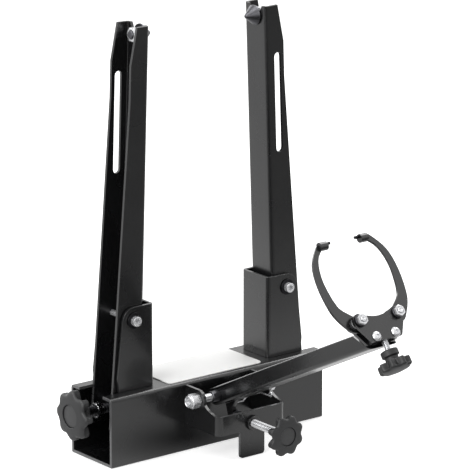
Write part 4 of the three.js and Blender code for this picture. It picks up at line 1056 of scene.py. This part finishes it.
def jaw_bolt(node, place, top, under, tail):
    shape = bmesh.new()
    core = [share * M6_PITCH for share in JAW_BOLT_CORE]
    rise = top - JAW_BOLT_RISE
    add_rings(shape, [
        round_ring(M6_SHANK - core[0], tail + JAW_BOLT_LEAD),
        round_ring(M6_SHANK - core[1], tail + JAW_BOLT_RUNOUT[0]),
        round_ring(M6_SHANK, tail + JAW_BOLT_RUNOUT[1]),
        round_ring(M6_SHANK, under),
        round_ring(HEX_LAND * M6_FLATS / 2, under),
        hex_ring(M6_FLATS, under, -1),
        hex_ring(M6_FLATS, rise, 1),
        round_ring(HEX_LAND * M6_FLATS / 2, rise),
        *(round_ring(M6_SHANK + beyond, rise - depth) for beyond, depth in JAW_BOLT_WELL),
        *(round_ring(M6_SHANK + beyond, top - depth) for beyond, depth in JAW_BOLT_END),
    ])
    add_thread(shape, M6_SHANK, M6_PITCH, tail, tail + JAW_BOLT_THREAD)
    finished(node + "_turned", mesh_of(shape, node, place), [node])


for side in ("left", "right"):
    collar_low, collar_high = measured(f"{side}_jaw_collar", HEAD)
    middle = (collar_low + collar_high) / 2
    pivot = HEAD @ Matrix.Translation((middle.x, middle.y, 0))
    radius = (collar_high.x - collar_low.x) / 2
    bored_ring(
        f"{side}_jaw_collar", pivot, M6_BORE, radius, collar_low.z, collar_high.z,
        JAW_COLLAR_EDGES,
    )

    low, high = measured(f"{side}_jaw_bolt", HEAD)
    jaw_bolt(f"{side}_jaw_bolt", pivot, high.z, collar_high.z + JAW_BOLT_SEAT, low.z)

    low, high = measured(f"{side}_jaw_nut", HEAD)
    hex_nut(f"{side}_jaw_nut", pivot, M6_FLATS, low.z, high.z, M6_BORE)
    eased(f"{side}_jaw_bush", FINE_EDGE)

    low, high = measured(f"{side}_head_bolt", HEAD)
    middle = (low + high) / 2
    radius = (high.x - low.x) / 2
    turned_piece(f"{side}_head_bolt", [
        round_ring(HEAD_BOLT_SHANK - HEAD_BOLT_POINT[0], low.z),
        round_ring(HEAD_BOLT_SHANK, low.z + HEAD_BOLT_POINT[1]),
        round_ring(HEAD_BOLT_SHANK, HEAD_BOLT_SEAT),
        *(round_ring(radius - inset, height) for inset, height in HEAD_BOLT_BRIM),
        *(round_ring(radius * share, height) for share, height in HEAD_BOLT_DOME),
        *(hex_socket(HEAD_BOLT_SOCKET, height) for height in HEAD_BOLT_SOCKET_SPAN),
    ], HEAD @ Matrix.Translation((middle.x, middle.y, 0)))

    low, high = measured(f"{side}_feeler_boss", HEAD)
    at = HEAD @ Matrix.Translation((0, (low.y + high.y) / 2, (low.z + high.z) / 2)) @ TO_RIGHT
    radius = (high.y - low.y) / 2
    if side == "right":
        low.x += BOSS_INSET
    else:
        high.x -= BOSS_INSET
    turned_piece(f"{side}_feeler_boss", rounded_rings(radius, low.x, high.x, *BOSS_END), at)

    low, high = measured(f"{side}_feeler_pin", HEAD)
    at = HEAD @ Matrix.Translation((0, (low.y + high.y) / 2, (low.z + high.z) / 2)) @ TO_RIGHT
    radius = (high.y - low.y) / 2
    rings = rounded_rings(radius, low.x, high.x, *PIN_END)
    turned_piece(f"{side}_feeler_pin", rings, at, finish=BLACKENED)

JAW_SCREW_CORE = 0.6
JAW_SCREW_CORE_EDGE = (0.1, 0.4)
JAW_SCREW_NECK = 1.5
JAW_SCREW_NECK_LENGTH = 5
JAW_SCREW_RUNOUT = 0.3

low, high = measured("jaw_screw", HEAD)
radius = (high.x - low.x) / 2
screw_place = HEAD @ Matrix.Translation((0, 0, JAW_AXIS)) @ TO_BACK
shoulder = high.y - JAW_SCREW_NECK_LENGTH
shape = bmesh.new()
add_rings(shape, [
    round_ring(radius - JAW_SCREW_CORE - JAW_SCREW_CORE_EDGE[0], low.y),
    round_ring(radius - JAW_SCREW_CORE, low.y + JAW_SCREW_CORE_EDGE[1]),
    round_ring(radius - JAW_SCREW_CORE, shoulder - JAW_SCREW_RUNOUT),
    round_ring(JAW_SCREW_NECK, shoulder),
    round_ring(JAW_SCREW_NECK, high.y - NOSE_EDGE),
    round_ring(JAW_SCREW_NECK - NOSE_EDGE, high.y),
])
add_thread(shape, radius, M6_PITCH, low.y, shoulder)
screw_mesh = mesh_of(shape, "jaw_screw", screw_place)
finished("jaw_screw_threaded", screw_mesh, ["jaw_screw"], SCREW_STEEL)


# Floor, light and camera; places and sizes are in metres here

FLOOR_HALF = 12.0
FLOOR_DROP = 0.0005
FLOOR_COLOUR = (0.80, 0.80, 0.80, 1)
FLOOR_ROUGHNESS = 0.9
FLOOR_LIFT = 0.55

# Painted reflections: what gloss sees of the floor, its glow's brightness, and the places where it changes
GLOSS_SLANT = -0.75
GLOSS_SPAN = (-0.1, 0.6)
GLOSS_FLOOR = (0.26, 0.95)
GLOSS_NEAR = 0.7
GLOSS_NEAR_RIGHT = (-0.35, -0.12)
GLOSS_NEAR_FRONT = (-0.5, -0.25)
# Painted shadow in the floor's glow near the front of the base
FOOT_SHADE = 0.05
FOOT_SHADE_PLACE = (0.015, 0.07, 0)
FOOT_SHADE_REACH = (10.0, 14.0, 1.0)
FOOT_SHADE_SPAN = (0.1, 1.0)
# Painted shade: a dark sector of the floor's glow, left of the front
DARK_HEADING = (-0.786, -0.618, 0)
DARK_SECTOR = (0.80, 0.95)
DARK_START = (0.22, 0.34)
DARK_LEVEL = 0.04


def sum_of(finish, first, second):
    node = add_node(finish, "ShaderNodeMath", operation="ADD")
    link(finish, first, node.inputs[0])
    link(finish, second, node.inputs[1])
    return node.outputs["Value"]


def product_of(finish, first, second):
    node = add_node(finish, "ShaderNodeMath", operation="MULTIPLY")
    link(finish, first, node.inputs[0])
    link(finish, second, node.inputs[1])
    return node.outputs["Value"]


def scaled(finish, value, factor):
    node = add_node(finish, "ShaderNodeMath", {1: factor}, operation="MULTIPLY")
    link(finish, value, node.inputs[0])
    return node.outputs["Value"]


def length_of(finish, vector):
    node = add_node(finish, "ShaderNodeVectorMath", operation="LENGTH")
    link(finish, vector, node.inputs[0])
    return node.outputs["Value"]


def glowing(finish, strength):
    node = add_node(finish, "ShaderNodeEmission", {"Color": PURE_WHITE})
    link(finish, strength, node.inputs["Strength"])
    return node.outputs["Emission"]


def floor_in_gloss(finish):
    """Painted reflections: how bright the floor glows for gloss at each place, with painted shade in places."""
    place = add_node(finish, "ShaderNodeTexCoord").outputs["Object"]
    axes = add_node(finish, "ShaderNodeSeparateXYZ")
    link(finish, place, axes.inputs["Vector"])

    # Painted reflection: the glow is brightest behind the stand and duller in front of it
    behind = sum_of(finish, axes.outputs["Y"], scaled(finish, axes.outputs["X"], GLOSS_SLANT))
    far = ranged(finish, behind, GLOSS_SPAN, GLOSS_FLOOR)
    rightward = ranged(finish, axes.outputs["X"], GLOSS_NEAR_RIGHT, (0.0, GLOSS_NEAR))
    close = ranged(finish, axes.outputs["Y"], GLOSS_NEAR_FRONT, (0.0, 1.0))
    whole = sum_of(finish, far, product_of(finish, rightward, close))

    # Painted shadow: the glow is dimmed on the paper under the front of the base, as if in the stand's own shade
    foot = add_node(finish, "ShaderNodeMapping", {
        "Location": tuple(FOOT_SHADE_PLACE[i] * FOOT_SHADE_REACH[i] for i in range(3)),
        "Scale": FOOT_SHADE_REACH,
    })
    link(finish, place, foot.inputs["Vector"])
    away = length_of(finish, foot.outputs["Vector"])
    lit = ranged(finish, away, FOOT_SHADE_SPAN, (FOOT_SHADE, 1.0))

    # Painted shade: the glow is dark beyond the near paper on the left of the front, as if the studio were dark
    # there
    heading = add_node(finish, "ShaderNodeVectorMath", operation="NORMALIZE")
    link(finish, place, heading.inputs[0])
    facing = add_node(finish, "ShaderNodeVectorMath", {1: DARK_HEADING}, operation="DOT_PRODUCT")
    link(finish, heading.outputs["Vector"], facing.inputs[0])
    dark_side = ranged(finish, facing.outputs["Value"], DARK_SECTOR, (0.0, 1.0))
    far_out = ranged(finish, length_of(finish, place), DARK_START, (0.0, 1.0))
    gloom = product_of(finish, dark_side, far_out)
    left_over = ranged(finish, gloom, (0.0, 1.0), (1.0, DARK_LEVEL))
    return product_of(finish, whole, product_of(finish, lit, left_over))


def studio_floor():
    """A pale floor that the lens sees as near white, with the stand's soft shadow on it; gloss sees a glow with
    painted reflections instead.
    """
    floor = bpy.data.meshes.new("studio_floor")
    shape = bmesh.new()
    bmesh.ops.create_grid(shape, x_segments=1, y_segments=1, size=FLOOR_HALF)
    shape.to_mesh(floor)
    shape.free()
    piece = bpy.data.objects.new("studio_floor", floor)
    piece.location.z = -FLOOR_DROP
    bpy.context.scene.collection.objects.link(piece)
    finish, shader = new_finish("studio_paper", FLOOR_COLOUR, FLOOR_ROUGHNESS)
    shader.inputs["Specular IOR Level"].default_value = 0.0
    path = add_node(finish, "ShaderNodeLightPath")
    lift = glowing(finish, scaled(finish, path.outputs["Is Camera Ray"], FLOOR_LIFT))
    seen = add_node(finish, "ShaderNodeAddShader")
    link(finish, shader.outputs["BSDF"], seen.inputs[0])
    link(finish, lift, seen.inputs[1])
    # Gloss sees the painted glow instead of the lit paper
    both = add_node(finish, "ShaderNodeMixShader")
    link(finish, path.outputs["Is Glossy Ray"], both.inputs["Fac"])
    link(finish, seen.outputs["Shader"], both.inputs[1])
    link(finish, glowing(finish, floor_in_gloss(finish)), both.inputs[2])
    output = finish.node_tree.nodes["Material Output"]
    link(finish, both.outputs["Shader"], output.inputs["Surface"])
    floor.materials.append(finish)


LAMPS = [
    # name, place, target, size and power in watts
    ("key", (-1.6, 0.4, 2.2), (0, 0, 0.15), (1.6, 1.6), 36),
    ("side", (-2.1, -0.9, 0.9), (0, 0, 0.15), (0.9, 1.3), 26),
    ("top", (1.2, 0.3, 1.6), (0, 0, 0.1), (1.3, 1.3), 22),
    ("back", (-0.4, 2.2, 0.9), (0, 0, 0.2), (2.2, 1.0), 18),
    ("fill", (1.8, -1.6, 1.6), (0, 0, 0.15), (1.4, 1.4), 2.5),
]


def soft_lamp(name, place, target, size, power):
    lamp = bpy.data.lights.new(name, "AREA")
    lamp.shape = "RECTANGLE"
    lamp.size, lamp.size_y = size
    lamp.energy = power
    holder = bpy.data.objects.new(name, lamp)
    aim = Vector(target) - Vector(place)
    holder.matrix_world = (
        Matrix.Translation(place) @ aim.to_track_quat("-Z", "Y").to_matrix().to_4x4()
    )
    bpy.context.scene.collection.objects.link(holder)


WORLD_LIGHT = 0.45
WORLD_SEEN = 1.0


def studio_world():
    """White for the lens and for gloss, dimmer as light."""
    world = bpy.data.worlds.new("studio")
    bpy.context.scene.world = world
    world.use_nodes = True
    tree = world.node_tree
    background = tree.nodes["Background"]
    background.inputs["Color"].default_value = PURE_WHITE
    path = tree.nodes.new("ShaderNodeLightPath")
    seen = tree.nodes.new("ShaderNodeMath")
    seen.operation = "MAXIMUM"
    tree.links.new(path.outputs["Is Camera Ray"], seen.inputs[0])
    tree.links.new(path.outputs["Is Glossy Ray"], seen.inputs[1])
    strength = tree.nodes.new("ShaderNodeMapRange")
    strength.inputs["To Min"].default_value = WORLD_LIGHT
    strength.inputs["To Max"].default_value = WORLD_SEEN
    tree.links.new(seen.outputs["Value"], strength.inputs["Value"])
    tree.links.new(strength.outputs["Result"], background.inputs["Strength"])


studio_floor()
studio_world()
for lamp_values in LAMPS:
    soft_lamp(*lamp_values)

back = Vector((
    math.sin(CAMERA_AZIMUTH) * math.cos(CAMERA_ELEVATION),
    -math.cos(CAMERA_AZIMUTH) * math.cos(CAMERA_ELEVATION),
    math.sin(CAMERA_ELEVATION),
))
right = (-back).cross(Vector((0, 0, 1))).normalized()
up = back.cross(right)
lens = bpy.data.cameras.new("camera")
lens.lens = CAMERA_LENS
lens.sensor_width = SENSOR
lens.clip_end = CAMERA_REACH_M
camera = bpy.data.objects.new("camera", lens)
spot = (CAMERA_RIGHT * right + CAMERA_UP * up + CAMERA_BACK * back) / PER_METRE
turn = Matrix((right, up, back)).transposed().to_4x4()
camera.matrix_world = Matrix.Translation(spot) @ turn
bpy.context.scene.collection.objects.link(camera)
bpy.context.scene.camera = camera
bpy.context.scene.view_settings.view_transform = "Standard"
